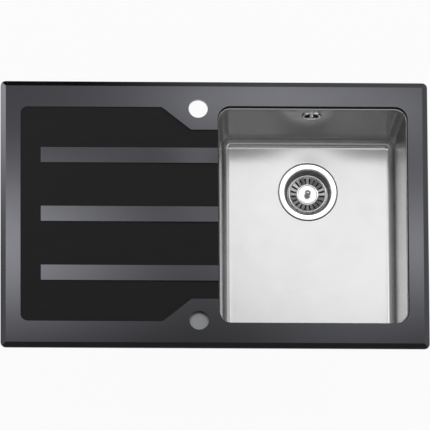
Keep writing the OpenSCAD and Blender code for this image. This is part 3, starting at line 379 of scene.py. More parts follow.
def finish_nodes(slots):
    """Puts finishes on CAD nodes that are shown as they are."""
    for node, slot in slots.items():
        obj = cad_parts[node]
        for place in obj.material_slots:
            place.material = FINISHES[slot]
        if not obj.material_slots:
            obj.data.materials.append(FINISHES[slot])


# Materials

class Nodes:
    """Adds and links nodes in one node tree."""

    def __init__(self, tree):
        self.tree = tree

    def add(self, kind, **settings):
        node = self.tree.nodes.new(kind)
        for key, value in settings.items():
            setattr(node, key, value)
        return node

    def link(self, a, b):
        self.tree.links.new(a, b)

    def fill(self, node, sockets):
        """Gives a node's sockets their values or links, and returns its first output."""
        for key, value in sockets.items():
            if isinstance(value, bpy.types.NodeSocket):
                self.link(value, node.inputs[key])
            elif value is not None:
                node.inputs[key].default_value = value
        return node.outputs[0]

    def range(self, value, low, high, from_low=0.3, from_high=0.7, kind="LINEAR"):
        """A value between two limits becomes one between low and high."""
        return self.fill(self.add("ShaderNodeMapRange", interpolation_type=kind),
                         {"Value": value, "From Min": from_low, "From Max": from_high,
                          "To Min": low, "To Max": high})

    def math(self, kind, a, b=None):
        return self.fill(self.add("ShaderNodeMath", operation=kind), {0: a, 1: b})

    def seen(self):
        """1 in rays of the camera, of mirrors and through glass, and 0 on plain surfaces."""
        path = self.add("ShaderNodeLightPath").outputs
        mirrored = self.math("MAXIMUM", path["Is Glossy Ray"], path["Is Transmission Ray"])
        return self.math("MAXIMUM", path["Is Camera Ray"], mirrored)


class Recipe(Nodes):
    """Builds one node material; coordinates are the piece's own Object coordinates in metres."""

    def __init__(self, name):
        self.material = bpy.data.materials.new(name)
        self.material.use_nodes = True
        super().__init__(self.material.node_tree)
        self.bsdf = self.tree.nodes["Principled BSDF"]
        self.place = self.add("ShaderNodeTexCoord").outputs["Object"]

    def stretched(self, scale):
        return self.fill(self.add("ShaderNodeMapping"), {"Vector": self.place, "Scale": scale})

    def noise(self, scale, detail=3.0, rough=0.5, place=None):
        return self.fill(self.add("ShaderNodeTexNoise"),
                         {"Vector": place or self.place, "Scale": scale, "Detail": detail,
                          "Roughness": rough})

    def shades(self, value, colour, dark, light, start=0.3, stop=0.7):
        """A colour times a dark and a light factor, at the value's two limits."""
        node = self.add("ShaderNodeValToRGB")
        for element, where, factor in zip(node.color_ramp.elements, (start, stop), (dark, light)):
            element.position = where
            element.color = (*scaled(colour, factor), 1)
        return self.fill(node, {"Fac": value})

    def bump(self, height, strength, distance):
        return self.fill(self.add("ShaderNodeBump"),
                         {"Strength": strength, "Distance": distance, "Height": height})

    def set(self, **sockets):
        """Fills sockets of the Principled shader; an underscore stands for a space."""
        self.fill(self.bsdf, {key.replace("_", " "): value for key, value in sockets.items()})

    def glow(self, strength):
        return self.fill(self.add("ShaderNodeEmission"), {"Strength": strength})

    def surface(self, output):
        """Uses another shader than the Principled one."""
        self.link(output, self.tree.nodes["Material Output"].inputs["Surface"])


def scaled(colour, factor):
    return tuple(min(1.0, c * factor) for c in colour)


def panel_glass(colour):
    """Polished dark glass: faint clouding and a few fine smears in the gloss."""
    r = Recipe("panel glass")
    smear = r.noise(30.0, 3.0, 0.6, r.stretched((1.0, 2.6, 1.0)))
    r.set(Base_Color=r.shades(r.noise(14.0, 4.0), colour, 0.85, 1.2), Roughness=r.range(smear, 0.035, 0.075),
          IOR=1.65, Specular_Tint=(0.91, 0.918, 1.0, 1.0), Normal=r.bump(r.noise(900.0, 2.0), 0.02, 0.00002))
    return r.material


def ground_glass(colour):
    """The milled drainer: fine even grain that scatters the light, with faint tool marks."""
    r = Recipe("ground glass")
    grain = r.noise(2600.0, 2.0, 0.7)
    marks = r.noise(70.0, 3.0, 0.5, r.stretched((0.25, 3.0, 1.0)))
    r.set(Base_Color=r.shades(marks, colour, 0.86, 1.2), Roughness=r.range(grain, 0.56, 0.70), IOR=1.34,
          Normal=r.bump(grain, 0.15, 0.00003))
    return r.material


def satin_steel(name, colour, low, high, relief):
    """Satin or mill steel: fine even grain and soft clouding of the gloss."""
    r = Recipe(name)
    grain = r.noise(900.0, 3.0, 0.6)
    cloud = r.noise(22.0, 3.0)
    both = r.math("ADD", r.math("MULTIPLY", grain, 0.6), r.math("MULTIPLY", cloud, 0.4))
    r.set(Base_Color=r.shades(both, colour, 0.94, 1.05, 0.35, 0.65), Metallic=1.0,
          Roughness=r.range(both, low, high), Normal=r.bump(grain, relief, 0.00002))
    return r.material


def polished_steel(name, colour, low, high):
    """Polished steel: near mirror with faint turning lines and light wear."""
    r = Recipe(name)
    haze = r.noise(60.0, 4.0, 0.6)
    r.set(Base_Color=r.shades(haze, colour, 0.96, 1.03), Metallic=1.0, Roughness=r.range(haze, low, high),
          Normal=r.bump(r.noise(1400.0, 2.0), 0.03, 0.00001))
    return r.material


def plated_steel(name, colour):
    """Zinc plate: mottled crystals with a muted bright sheen."""
    r = Recipe(name)
    cells = r.fill(r.add("ShaderNodeTexVoronoi", feature="SMOOTH_F1"), {"Vector": r.place, "Scale": 420.0})
    cloud = r.noise(80.0, 4.0)
    mix = r.math("ADD", r.math("MULTIPLY", cells, 0.5), r.math("MULTIPLY", cloud, 0.6))
    r.set(Base_Color=r.shades(mix, colour, 0.86, 1.08, 0.25, 0.75), Metallic=1.0,
          Roughness=r.range(cloud, 0.30, 0.46), Normal=r.bump(mix, 0.12, 0.00003))
    return r.material


def moulded(name, colour, low, high, grain=900.0, depth=0.00004):
    """Moulded plastic or rubber: fine skin grain, slight colour drift and soft gloss."""
    r = Recipe(name)
    skin = r.noise(grain, 3.0, 0.55)
    r.set(Base_Color=r.shades(r.noise(35.0, 3.0), colour, 0.84, 1.18), Roughness=r.range(skin, low, high),
          Normal=r.bump(skin, 0.25, depth))
    return r.material


def make_finishes(finish):
    """Fills FINISHES: the record's slots by their names, one for the drainer and three for the strainer, one
    of these a near black steel that is painted shade under the basket.
    """
    FINISHES.update(
        panel_glass=panel_glass(finish.glass),
        ground_glass=ground_glass(finish.ground),
        bowl_steel=satin_steel("bowl steel", finish.bowl, 0.23, 0.26, 0.02),
        plain_steel=satin_steel("mill steel", finish.mill, 0.38, 0.52, 0.25),
        polished_steel=polished_steel("polished steel", finish.polish, 0.05, 0.12),
        basket_steel=polished_steel("basket steel", finish.polish, 0.16, 0.26),
        wall_steel=polished_steel("wall steel", finish.polish, 0.30, 0.38),
        # Painted shade: near black steel for the cup's floor under the basket's slots
        dulled_steel=satin_steel("painted shade steel", finish.dull, 0.42, 0.58, 0.2),
        zinc_steel=plated_steel("zinc plate", finish.zinc),
        waste_plastic=moulded("waste plastic", finish.plastic, 0.34, 0.46),
        hose_plastic=moulded("hose plastic", finish.hose, 0.36, 0.5),
        seal_rubber=moulded("seal rubber", finish.rubber, 0.55, 0.72, 1400.0),
        damping_pad=moulded("damping pad", finish.pad, 0.75, 0.9, 350.0, 0.0002),
        adhesive=moulded("adhesive", finish.glue, 0.4, 0.6, 300.0, 0.0001),
    )


# Operators

class SINK_OT_stage(bpy.types.Operator):
    """Makes the finishes, the camera, the pale floor and the soft studio light"""
    bl_idname = "sink.stage"
    bl_label = "Stage and finishes"
    FLOOR_GLOW = 0.94
    LOBES = [(-0.40, 0.315, 0.27, 0.155, 3.5), (0.47, 0.32, 0.16, 0.13, 2.6), (0.20, 0.62, 0.27, 0.08, 2.5),
             (0.46, 0.55, 0.10, 0.10, 0.8), (0.30, 0.14, 0.16, 0.09, 0.55), (0.17, 0.33, 0.11, 0.10, 1.35),
             (0.03, 0.47, 0.05, 0.11, 0.7), (0.24, -0.60, 0.12, 0.18, 1.8), (0.0, -1.4, 2.0, 0.3, 0.08)]

    def execute(self, context):
        scene, stage = context.scene, context.scene.sink_stage
        scene.view_settings.view_transform = "Standard"
        make_finishes(scene.sink_finish)
        self.camera(scene, stage)
        self.world(scene, stage)
        self.floor()
        self.cards()
        return {"FINISHED"}

    def camera(self, scene, stage):
        """Looks down at the panel's middle, with the panel's X laid in the picture plane and then turned."""
        data = bpy.data.cameras.new("Camera")
        data.sensor_width, data.clip_start, data.clip_end = 36.0, 0.1, 100.0
        data.lens = data.sensor_width * stage.distance / stage.picture
        camera = bpy.data.objects.new("Camera", data)
        scene.collection.objects.link(camera)
        back = Vector(stage.view).normalized()
        right = (Vector((1, 0, 0)) - back * back.x).normalized()
        right = (Matrix.Rotation(stage.roll, 3, back) @ right).normalized()
        turn_to = Matrix((right, back.cross(right), back)).transposed().to_4x4()
        camera.matrix_world = Matrix.Translation(Vector(stage.aim) + back * stage.distance) @ turn_to
        scene.camera = camera

    def world(self, scene, stage):
        """A white surround in the camera's and mirrors' rays and a softer one for plain surfaces."""
        world = bpy.data.worlds.new("Surround")
        world.use_nodes = True
        nodes = Nodes(world.node_tree)
        strength = nodes.range(nodes.seen(), stage.fill, stage.sky, 0.0, 1.0)
        nodes.fill(nodes.tree.nodes["Background"], {"Color": (1, 1, 1, 1), "Strength": strength})
        scene.world = world

    def sheet(self, name, corners):
        """One flat face of four corners."""
        return make_object(name, np.array(corners), [[0, 1, 2, 3]], closed=False, body=None)

    def floor(self):
        """A pale floor just under the sink that keeps its shadow."""
        low, far = CAD_BOX[0].z - 1.5 * MM, 9.0
        floor = self.sheet("floor", [(-far, -far, low), (far, -far, low), (far, far, low), (-far, far, low)])
        recipe = Recipe("pale floor")
        recipe.set(Base_Color=recipe.shades(recipe.noise(3.0, 2.0), (1, 1, 1), 0.86, 0.89), Roughness=0.8)
        part = recipe.math("MULTIPLY", recipe.seen(), self.FLOOR_GLOW)
        recipe.surface(recipe.fill(recipe.add("ShaderNodeMixShader"),
                                   {0: part, 1: recipe.bsdf.outputs[0], 2: recipe.glow(1.0)}))
        floor.data.materials.append(recipe.material)

    def card(self, name, corners, level, lobes=()):
        """A soft light card that the camera doesn't see.

        Its glow is a level, or a smooth step along an axis (axis, low, high, from, to). Each lobe (x, y,
        spread x, spread y, strength) adds strength x exp(-((X - x) / spread x)^2 - ((Y - y) / spread y)^2),
        without the term whose spread is 0.
        """
        card = self.sheet(name, corners)
        recipe = Recipe(name)
        split = recipe.add("ShaderNodeSeparateXYZ")
        recipe.fill(split, {0: recipe.place})
        total = level
        if not isinstance(level, float):
            total = recipe.range(split.outputs[level[0]], *level[1:], kind="SMOOTHSTEP")
        for x, y, spread_x, spread_y, strength in lobes:
            square = 0.0
            for axis, middle, spread in zip(split.outputs, (x, y), (spread_x, spread_y)):
                if spread:
                    away = recipe.math("DIVIDE", recipe.math("SUBTRACT", axis, middle), spread)
                    square = recipe.math("ADD", square, recipe.math("MULTIPLY", away, away))
            lobe = recipe.math("EXPONENT", recipe.math("MULTIPLY", square, -1.0))
            total = recipe.math("ADD", total, recipe.math("MULTIPLY", lobe, strength))
        recipe.surface(recipe.glow(total))
        card.data.materials.append(recipe.material)
        card.visible_camera = False
        card.visible_transmission = False

    def cards(self):
        """Overhead card with a dark front and bright lobes, left card, the bevel's lamp and back card."""
        self.card("overhead card", [(-1.3, -2.3, 1.5), (1.3, -2.3, 1.5), (1.3, 1.5, 1.5), (-1.3, 1.5, 1.5)],
                  (1, 0.10, 0.80, -0.10, 0.35), self.LOBES)
        self.card("left card", [(-2, -1.6, 0.2), (-2, 2.4, 0.2), (-2, 2.4, 2.2), (-2, -1.6, 2.2)], 0.36)
        self.card("bevel lamp",
                  [(-0.7, -0.2, 0.2), (-0.7, 0.42, 0.2), (-0.7, 0.42, 0.36), (-0.7, -0.2, 0.36)],
                  0.95, [(0, 0.36, 0, 0.19, 3.5)])
        self.card("back card", [(-3, 2.6, 0.05), (3, 2.6, 0.05), (3, 2.6, 1.9), (-3, 2.6, 1.9)],
                  (0, 0.0, 0.85, -0.20, 0.25))


class SINK_OT_panel(bpy.types.Operator):
    """Makes the glass panel with its ground drainer, and finishes its bed, seal, carrier and pads"""
    bl_idname = "sink.panel"
    bl_label = "Glass panel"
    LEVEL = 0.99

    def execute(self, context):
        sizes = context.scene.sink_panel
        panel = cad_copy("glass_top", "glass_panel", "sink", sizes.arris)
        finish_piece(panel, "panel_glass")
        panel.data.materials.append(FINISHES["ground_glass"])
        faces = panel.data.polygons
        height = np.array([p.center.z for p in faces])
        rise = np.array([p.normal.z for p in faces])
        area = np.array([p.area for p in faces])
        ground = (rise > self.LEVEL) & (height < sizes.recess_top)
        rounded = (np.abs(rise) < self.LEVEL) & (area < sizes.small_face)
        faces.foreach_set("material_index", ground.astype(np.int32))
        faces.foreach_set("use_smooth", rounded)
        finish_nodes({"glass_bond": "adhesive", "rim_seal": "seal_rubber", "carrier_sheet": "plain_steel",
                      "carrier_edge": "plain_steel", "sound_pads": "damping_pad"})
        return {"FINISHED"}


class SINK_OT_bowl(bpy.types.Operator):
    """Makes the drawn bowl: flange, rolled lip, drafted walls, floor bend, fall and waste seat"""
    bl_idname = "sink.bowl"
    bl_label = "Bowl"
    LIP_STEPS = 8
    WALL_STEPS = 11
    BEND_STEPS = 14
    FLOOR_STEPS = 21
    CORNER_STEPS = 16
    SIDE_STEPS = 24

    def execute(self, context):
        s = context.scene.sink_bowl
        middle = (BOWL_LOW + BOWL_HIGH) / 2
        half = np.array([BOWL_HIGH.x - middle.x, BOWL_HIGH.y - middle.y]) - s.corner - s.flange
        place, normal = self.loop()
        inner = self.section(s, BOWL_HIGH.z, 0.0)
        outer = self.section(s, BOWL_HIGH.z, s.sheet)
        turns = self.turns(s, inner)
        upper = self.rings(place, normal, half, inner, turns)
        lower = self.rings(place, normal, half, outer, turns + outer[:, 0] - inner[:, 0])
        floor_in, z_in = self.floor(upper[-1], s, middle, 0.0)
        floor_out, z_out = self.floor(lower[-1], s, middle, s.sheet)
        rings = upper + floor_in + floor_out[::-1] + lower[::-1]
        level = np.ones(len(place))
        heights = np.concatenate([np.outer(inner[:, 1], level), z_in, z_out[::-1],
                                  np.outer(outer[::-1, 1], level)])
        plan = np.array(rings) + np.array([middle.x, middle.y])
        points = np.concatenate([plan, heights[:, :, None]], -1)
        bowl = make_object("bowl_shell", points, grid_faces(len(rings), len(place), True, True))
        hole, reach = context.scene.sink_overflow.hole, 20 * MM
        section = np.array([(0, -reach), (hole, -reach), (hole, reach), (0, reach)])
        cut_with(bowl, turned("cutter", section, 64, matrix=wall_frame(context.scene), body=None))
        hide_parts("bowl")
        finish_piece(bowl, "bowl_steel")
        return {"FINISHED"}

    def loop(self):
        """A loop of places on the unit square and directions: a corner keeps its place while it turns."""
        place, normal = [], []
        corners = np.array([(1, 1), (-1, 1), (-1, -1), (1, -1)], float)
        for k in range(4):
            a = np.radians(np.linspace(90 * k, 90 * k + 90, self.CORNER_STEPS + 1))
            place.append(np.broadcast_to(corners[k], (len(a), 2)))
            normal.append(np.stack([np.cos(a), np.sin(a)], -1))
            t = np.linspace(0, 1, self.SIDE_STEPS + 1)[1:-1, None]
            place.append(corners[k] * (1 - t) + corners[(k + 1) % 4] * t)
            normal.append(np.broadcast_to(normal[-1][-1], (len(t), 2)))
        return np.concatenate(place), np.concatenate(normal)

    def section(self, s, top, depth):
        """One face of the sheet from the flange down, as distance outside the core rectangle and height."""
        lip = (s.corner + s.lip, top - s.lip)
        fillet_z = -s.drop + s.floor_bend
        inwards = math.sin(s.draft) * (fillet_z - lip[1]) - (s.floor_bend + s.lip)
        fillet_r = lip[0] + inwards / math.cos(s.draft)
        lean = math.degrees(s.draft)
        down = arc(lip, s.lip - depth, 90, 180 - lean, self.LIP_STEPS)
        bend = arc((fillet_r, fillet_z), s.floor_bend + depth, -lean, -90, self.BEND_STEPS)
        t = np.linspace(0, 1, self.WALL_STEPS + 1)[1:-1, None]
        wall = down[-1] * (1 - t) + bend[0] * t
        return np.concatenate([[(s.corner + s.flange, top - depth)], down, wall, bend])

    def turns(self, s, inner):
        """Radius of the upright corners at each point of the inner face.

        On flange and lip it is the point's distance p; down the wall it falls evenly to the heel radius h;
        in the floor bend it is h less the distance moved inwards.
        """
        p, z = inner.T
        top = self.LIP_STEPS + 1
        low = top + self.WALL_STEPS
        wall = np.interp(-z, [-z[top], -z[low]], [p[top], s.heel])
        index = np.arange(len(p))
        return np.where(index <= top, p, np.where(index <= low, wall, s.heel - p[low] + p))

    def rings(self, place, normal, half, face, turns):
        """Loops of the sheet: place x (core half sizes + p - r) + r x direction, with corner radius r."""
        return [place * (half + p - r) + r * normal for p, r in zip(face[:, 0], turns)]

    def floor(self, edge, s, middle, depth):
        """Rings from the floor's edge to the hole: each point moves straight to its place on the waste seat.

        The height falls by the floor's fall times w / (w + v / 3), where w = (1 - (x/a)^2)(1 - (y/b)^2) is 0
        on the floor's edge and v = (d / rim)^2 - 1 is 0 on the seat's rim; it then follows the pressed seat.
        """
        centre = np.array([WASTE.x - middle.x, WASTE.y - middle.y])
        away = edge - centre
        way = away / np.linalg.norm(away, axis=1)[:, None]
        bend = s.seat_bend
        rim = s.seat_radius + 2 * bend
        t = np.linspace(0, 1, self.FLOOR_STEPS + 1)[1:]
        rings = [edge * (1 - k) + (centre + way * rim) * k for k in t]
        plan = np.array(rings)
        size = np.abs(edge).max(0)
        w = np.prod(np.maximum(1 - (plan / size) ** 2, 0), -1)
        v = np.maximum((np.linalg.norm(plan - centre, axis=-1) / rim) ** 2 - 1, 0)
        heights = list(-s.drop - depth - s.fall * w / np.maximum(w + v / 3, 1e-9))
        low = -s.drop - s.fall
        ledge, side = low - s.seat_depth - depth, s.seat_radius + depth
        if depth:
            seat = [(side + bend, low - depth), (side, low - bend), (side, ledge), (s.hole_radius, ledge)]
        else:
            steps = 4
            seat = softened([(rim, low), (side + bend, low), (side, low - bend), (side, ledge),
                             (s.hole_radius, ledge)], 0.6 * bend, steps, False)[steps + 1:].tolist()
        rings += [centre + way * r for r, _ in seat]
        heights += [np.full(len(way), z) for _, z in seat]
        return rings, np.array(heights)


class SINK_OT_overflow(bpy.types.Operator):
    """Makes the overflow rose and the ribbed hose, and finishes the elbow, nuts, gasket and screw"""
    bl_idname = "sink.overflow"
    bl_label = "Overflow"
    BAR_STEPS = 60
    RIB_STEPS = 10
    HOSE_SIDES = 40

    def execute(self, context):
        s = context.scene.sink_overflow
        matrix = wall_frame(context.scene)
        e = s.edge
        ring = softened([(s.opening, 0), (s.rose, 0), (s.rose, e), (s.rose - e, s.thickness - e / 2),
                         (s.rose - 2 * e, s.thickness), (s.opening + e, s.thickness),
                         (s.opening, s.thickness - e)], [0.1 * MM, 0.1 * MM] + [0.7 * MM] * 5)
        rose = turned("rose_ring", ring, matrix=matrix, sharp=40)
        bar = make_object("rose_bar", *self.bar(s, matrix), sharp=50)
        for piece in (rose, bar):
            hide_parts("overflow_rose")
            finish_piece(piece, "polished_steel")
        hose = make_object("ribbed_hose", *self.hose(s, context.scene.sink_bowl.draft), sharp=40)
        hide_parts("overflow_hose")
        finish_piece(hose, "hose_plastic")
        finish_nodes({"overflow_screw": "polished_steel", "overflow_gasket": "seal_rubber"})
        for node in ("overflow_elbow", "hose_nut_upper", "hose_nut_lower"):
            finish_piece(cad_copy(node, node + "_moulded", "sink", 0.35 * MM), "waste_plastic")
        return {"FINISHED"}

    def bar(self, s, matrix):
        """The bar: a rounded strip section carried straight across, widening to the boss round the screw.

        Half width at distance d from the middle is the larger of the bar's and the boss circle's.
        """
        reach, top = s.opening + s.edge * 0.8, s.thickness - s.edge
        d = np.linspace(-reach, reach, self.BAR_STEPS + 1)[:, None]
        half = np.maximum(s.bar / 2, np.sqrt(np.maximum(s.boss ** 2 - d ** 2, 0)))
        section = np.array([(-1, 0.05), (-1, 0.72), (-0.86, 0.93), (-0.62, 1.0),
                            (0.62, 1.0), (0.86, 0.93), (1, 0.72), (1, 0.05)])
        points = np.stack(np.broadcast_arrays(half * section[:, 0], d, top * section[:, 1]), -1)
        rows, columns = points.shape[:2]
        faces = grid_faces(rows, columns, False, True).tolist()
        ends = np.arange(rows * columns).reshape(rows, columns)[[0, -1]].tolist()
        return placed(points, matrix), faces + ends

    def hose(self, s, draft):
        """The hose: a ring of radius r(s) carried along a straight run, a bend and a second straight run.

        r(s) = root + (rib - root) w(s), with w a rounded wave of one rib for each pitch; the bore closes it.
        """
        start, end = Vector(s.start), Vector(s.end)
        total = math.pi / 2 - draft
        knee_y = end.x - math.tan(draft) * (end.y - start.y)
        tangent = s.bend * math.tan(total / 2)
        run_1 = knee_y - tangent - start.x
        curve = s.bend * total
        run_2 = math.hypot(end.x - knee_y, end.y - start.y) - tangent
        full = run_1 + curve + run_2
        ribs = int(full / s.pitch)
        along = np.linspace(0, full, ribs * self.RIB_STEPS + 1)
        angle = np.clip((along - run_1) / curve, 0, 1) * total
        y = start.x + np.minimum(along, run_1) + s.bend * np.sin(angle)
        z = start.y + s.bend * (1 - np.cos(angle))
        past = np.maximum(along - run_1 - curve, 0)
        y, z = y + past * math.cos(total), z + past * math.sin(total)
        wave = 0.5 - 0.5 * np.cos(2 * np.pi * ribs * along / full)
        radius = s.root + (s.rib - s.root) * np.clip(wave * 1.5 - 0.12, 0, 1) ** 0.8
        back = np.arange(0, len(along), self.RIB_STEPS)[::-1]
        y, z, angle = (np.r_[line, line[back]][:, None] for line in (y, z, angle))
        radius = np.r_[radius, np.full(len(back), s.bore)][:, None]
        t = angles(self.HOSE_SIDES)
        up = radius * np.sin(t)
        points = np.stack([WASTE.x + radius * np.cos(t), y - up * np.sin(angle), z + up * np.cos(angle)], -1)
        return points, grid_faces(len(points), self.HOSE_SIDES, True, True)


class SINK_OT_strainer(bpy.types.Operator):
    """Makes the strainer cup, the slotted basket and its knob, and finishes the rest of the waste"""
    bl_idname = "sink.strainer"
    bl_label = "Strainer and waste"
    CUP_SIDES = 144
    KNOB_SIDES = 64
    SECTOR_STEPS = 8
    INNER_WIDTH = 0.7  # width of a slot's inner end over that of its outer end
    THREAD_SIDES = 96
    THREAD_ROWS = 100

    def execute(self, context):
        s = context.scene.sink_waste
        self.cup(s)
        self.basket(s)
        self.knob(s)
        self.outlet_thread(s)
        finish_nodes({"waste_bolt": "plain_steel", "basket_spindle": "plain_steel",
                      "basket_seal": "seal_rubber", "waste_top_gasket": "seal_rubber",
                      "waste_low_gasket": "seal_rubber"})
        finish_piece(cad_copy("waste_body", "waste_body_moulded", "sink", 0.5 * MM), "waste_plastic")
        finish_piece(cad_copy("waste_outlet", "outlet_pipe", "sink", 0.4 * MM), "waste_plastic")
        return {"FINISHED"}

    def cup(self, s):
        """The cup is turned: flange, bend, wall, bend and floor, and back on the sheet's other face.

        Its floor has drain slots and, under the basket's slots, a near black steel that is painted shade;
        its wall is less polished.
        """
        low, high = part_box("strainer_cup")
        sheet, bend = s.cup_sheet, s.cup_bend
        top, floor = high.z, low.z + sheet
        mouth, heel = (s.mouth + bend, top - bend), (s.cup_floor - bend, floor + bend)
        section = np.concatenate([
            [(s.flange - 0.3 * MM, top - 0.02 * MM), (s.flange - 1.2 * MM, top)],
            arc(mouth, bend, 90, 180, 8), arc(heel, bend, 0, -90, 8),
            [(s.slot_outer + 1 * MM, floor), (s.cup_hole, floor), (s.cup_hole, low.z)],
            arc(heel, bend + sheet, -90, 0, 6), arc(mouth, bend - sheet, 180, 90, 5),
            [(s.flange, top - sheet), (s.flange, top - 0.35 * MM)]])
        cup = turned("cup_shell", section, self.CUP_SIDES, WASTE_AXIS)
        half, drains = s.drain_width / 2, []
        for a in angles(s.drains):
            turn_to = np.array([(math.cos(a), math.sin(a)), (-math.sin(a), math.cos(a))])
            plan = np.array([(s.drain_inner, -half), (s.drain_outer, -half), (s.drain_outer, half),
                             (s.drain_inner, half)])
            drains.append(plan @ turn_to + WASTE_AXIS)
        cut_with(cup, make_object("cutter", *boxes(drains, floor - 10 * MM, floor + 10 * MM), body=None))
        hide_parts("strainer_cup")
        finish_piece(cup, "polished_steel")
        cup.data.materials.append(FINISHES["dulled_steel"])
        cup.data.materials.append(FINISHES["wall_steel"])
        middle = np.array([p.center for p in cup.data.polygons]) - (*WASTE_AXIS, floor)
        out, up = np.linalg.norm(middle[:, :2], axis=1), middle[:, 2]
        # Painted shade: the floor under the basket's slots gets the near black steel
        under = (out < s.slot_outer) & (np.abs(up) < 0.1 * MM)
        wall = (out > s.slot_outer) & (out < s.mouth + 0.2 * MM) & (up < top - floor - bend)
        cup.data.polygons.foreach_set("material_index", (under + 2 * wall).astype(np.int32))

    def basket(self, s):
        """The basket is a polar grid in as many sectors as slots.

        In a sector the angle runs from one slot's edge to the next: slot half angle p(r) + share t of what
        is left. p(r) is the slot's half width at radius r over r, and 0 where there is no slot, so that
        neighbouring sectors meet there.
        """
        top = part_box("basket")[1].z
        floor = top - s.basket_depth
        disc = floor + 0.8 * MM
        outer, inner = s.slot_outer, s.slot_inner
        half, narrow = s.slot_width / 2, s.slot_width / 2 * self.INNER_WIDTH
        flat = inner - 1 * MM
        corners = [(s.spindle_hole, disc, 0), (s.centre - 0.7 * MM, disc, 0.5),
                   (s.centre + 0.1 * MM, floor, 0.5), (flat, floor, 1.5),
                   (outer + 0.8 * MM, top - 1.5 * MM, 0.8), (outer + 1.6 * MM, top, 0.8),
                   (s.basket - 0.9 * MM, top, 0.8), (s.basket, top - 0.9 * MM, 0.8),
                   (s.basket, top - 2.2 * MM, 0)]
        section = softened([(r, z) for r, z, _ in corners], [bend * MM for _, _, bend in corners], 4, False)
        rows = np.concatenate([np.linspace(s.spindle_hole, inner, 9),
                               inner + narrow * (1 - np.cos(np.linspace(0, np.pi / 2, 6))),
                               np.linspace(inner + narrow, outer - half, 8)[1:-1],
                               outer - half + half * np.sin(np.linspace(0, np.pi / 2, 7))])
        keep = section[section[:, 0] > outer + 0.1 * MM]
        inside = section[section[:, 0] <= flat]
        rows = np.unique(np.round(np.concatenate([rows, inside[:, 0]]), 9))
        rows = rows[np.r_[True, np.diff(rows) > SAME_CAD_POINT]]
        # The section's last six points stand at one radius and give no height
        heights = np.interp(rows, section[:-6, 0], section[:-6, 1])
        line = np.concatenate([np.c_[rows, heights], keep])
        r = line[:, 0]
        inner_end = np.sqrt(np.maximum(narrow ** 2 - (inner + narrow - r) ** 2, 0))
        outer_end = np.sqrt(np.maximum(half ** 2 - (r - outer + half) ** 2, 0))
        sides = narrow + (half - narrow) * (r - inner - narrow) / (outer - half - inner - narrow)
        width = np.where(r < inner + narrow, inner_end, np.where(r > outer - half, outer_end, sides))
        width[(r < inner) | (r > outer) | (width < 0.02 * MM)] = 0
        step = 2 * np.pi / s.slots
        t = np.linspace(0, 1, self.SECTOR_STEPS + 1)
        p = (width / r)[None, :, None]
        start = (np.arange(s.slots) + 0.5)[:, None, None] * step
        angle = start + p + t * (step - 2 * p)
        points = round_points(WASTE_AXIS, r[:, None], angle, line[:, 1:])
        one = len(r) * len(t)
        faces = np.concatenate([grid_faces(len(r), len(t), start=k * one) for k in range(s.slots)])
        basket = make_object("slotted_basket", points, faces, closed=False, body="strainer_basket")
        bm = bmesh.new()
        bm.from_mesh(basket.data)
        bmesh.ops.remove_doubles(bm, verts=bm.verts, dist=SAME_CAD_POINT)
        bmesh.ops.dissolve_degenerate(bm, edges=bm.edges, dist=SAME_POINT)
        bmesh.ops.recalc_face_normals(bm, faces=bm.faces)
        if sum(f.normal.z for f in bm.faces) < 0:
            bmesh.ops.reverse_faces(bm, faces=bm.faces)
        bm.to_mesh(basket.data)
        bm.free()
        basket.data.set_sharp_from_angle(angle=math.radians(40))
        wall = basket.modifiers.new("Sheet", "SOLIDIFY")
        wall.thickness, wall.offset = s.basket_sheet, -1.0
        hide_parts("basket")
        finish_piece(basket, "polished_steel", "basket_steel")

    def knob(self, s):
        """The knob is turned: a flared foot, a short stem and a ball."""
        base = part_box("basket_knob")[0].z
        touch = math.degrees(math.acos(s.stem / s.knob))
        ball = arc((0, base + s.knob_height - s.knob), s.knob, -touch, 90, 20)
        ball[-1, 0] = 0
        section = np.concatenate([[(0, base), (s.foot, base), (s.foot - 0.3 * MM, base + 0.5 * MM),
                                   (s.stem + 0.3 * MM, base + 1.3 * MM), (s.stem, base + 2.2 * MM)], ball])
        knob = turned("ball_knob", section, self.KNOB_SIDES, WASTE_AXIS, sharp=50, body="strainer_basket")
        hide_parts("basket_knob")
        finish_piece(knob, "polished_steel")

    def outlet_thread(self, s):
        """The thread: radius = root + depth x wave of (height / pitch - turn), faded at its ends."""
        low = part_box("waste_outlet")[0].z
        start, end = low + s.thread_start, low + s.thread_end
        z = np.linspace(start, end, self.THREAD_ROWS)[:, None]
        t = angles(self.THREAD_SIDES)
        fade = np.clip(np.minimum(z - start, end - z) / s.thread_fade, 0, 1)
        wave = 0.5 + 0.5 * np.cos(2 * np.pi * (z / s.thread_pitch - t / (2 * np.pi)))
        radius = s.thread_root + (s.thread_crest - s.thread_root) * fade * wave
        points = np.concatenate([round_points(WASTE_AXIS, radius, t, z),
                                 round_points(WASTE_AXIS, s.thread_inside, t, z[[-1, 0]])])
        faces = grid_faces(len(points), len(t), True, True)
        thread = make_object("outlet_thread", points, faces, sharp=60)
        finish_piece(thread, "waste_plastic")


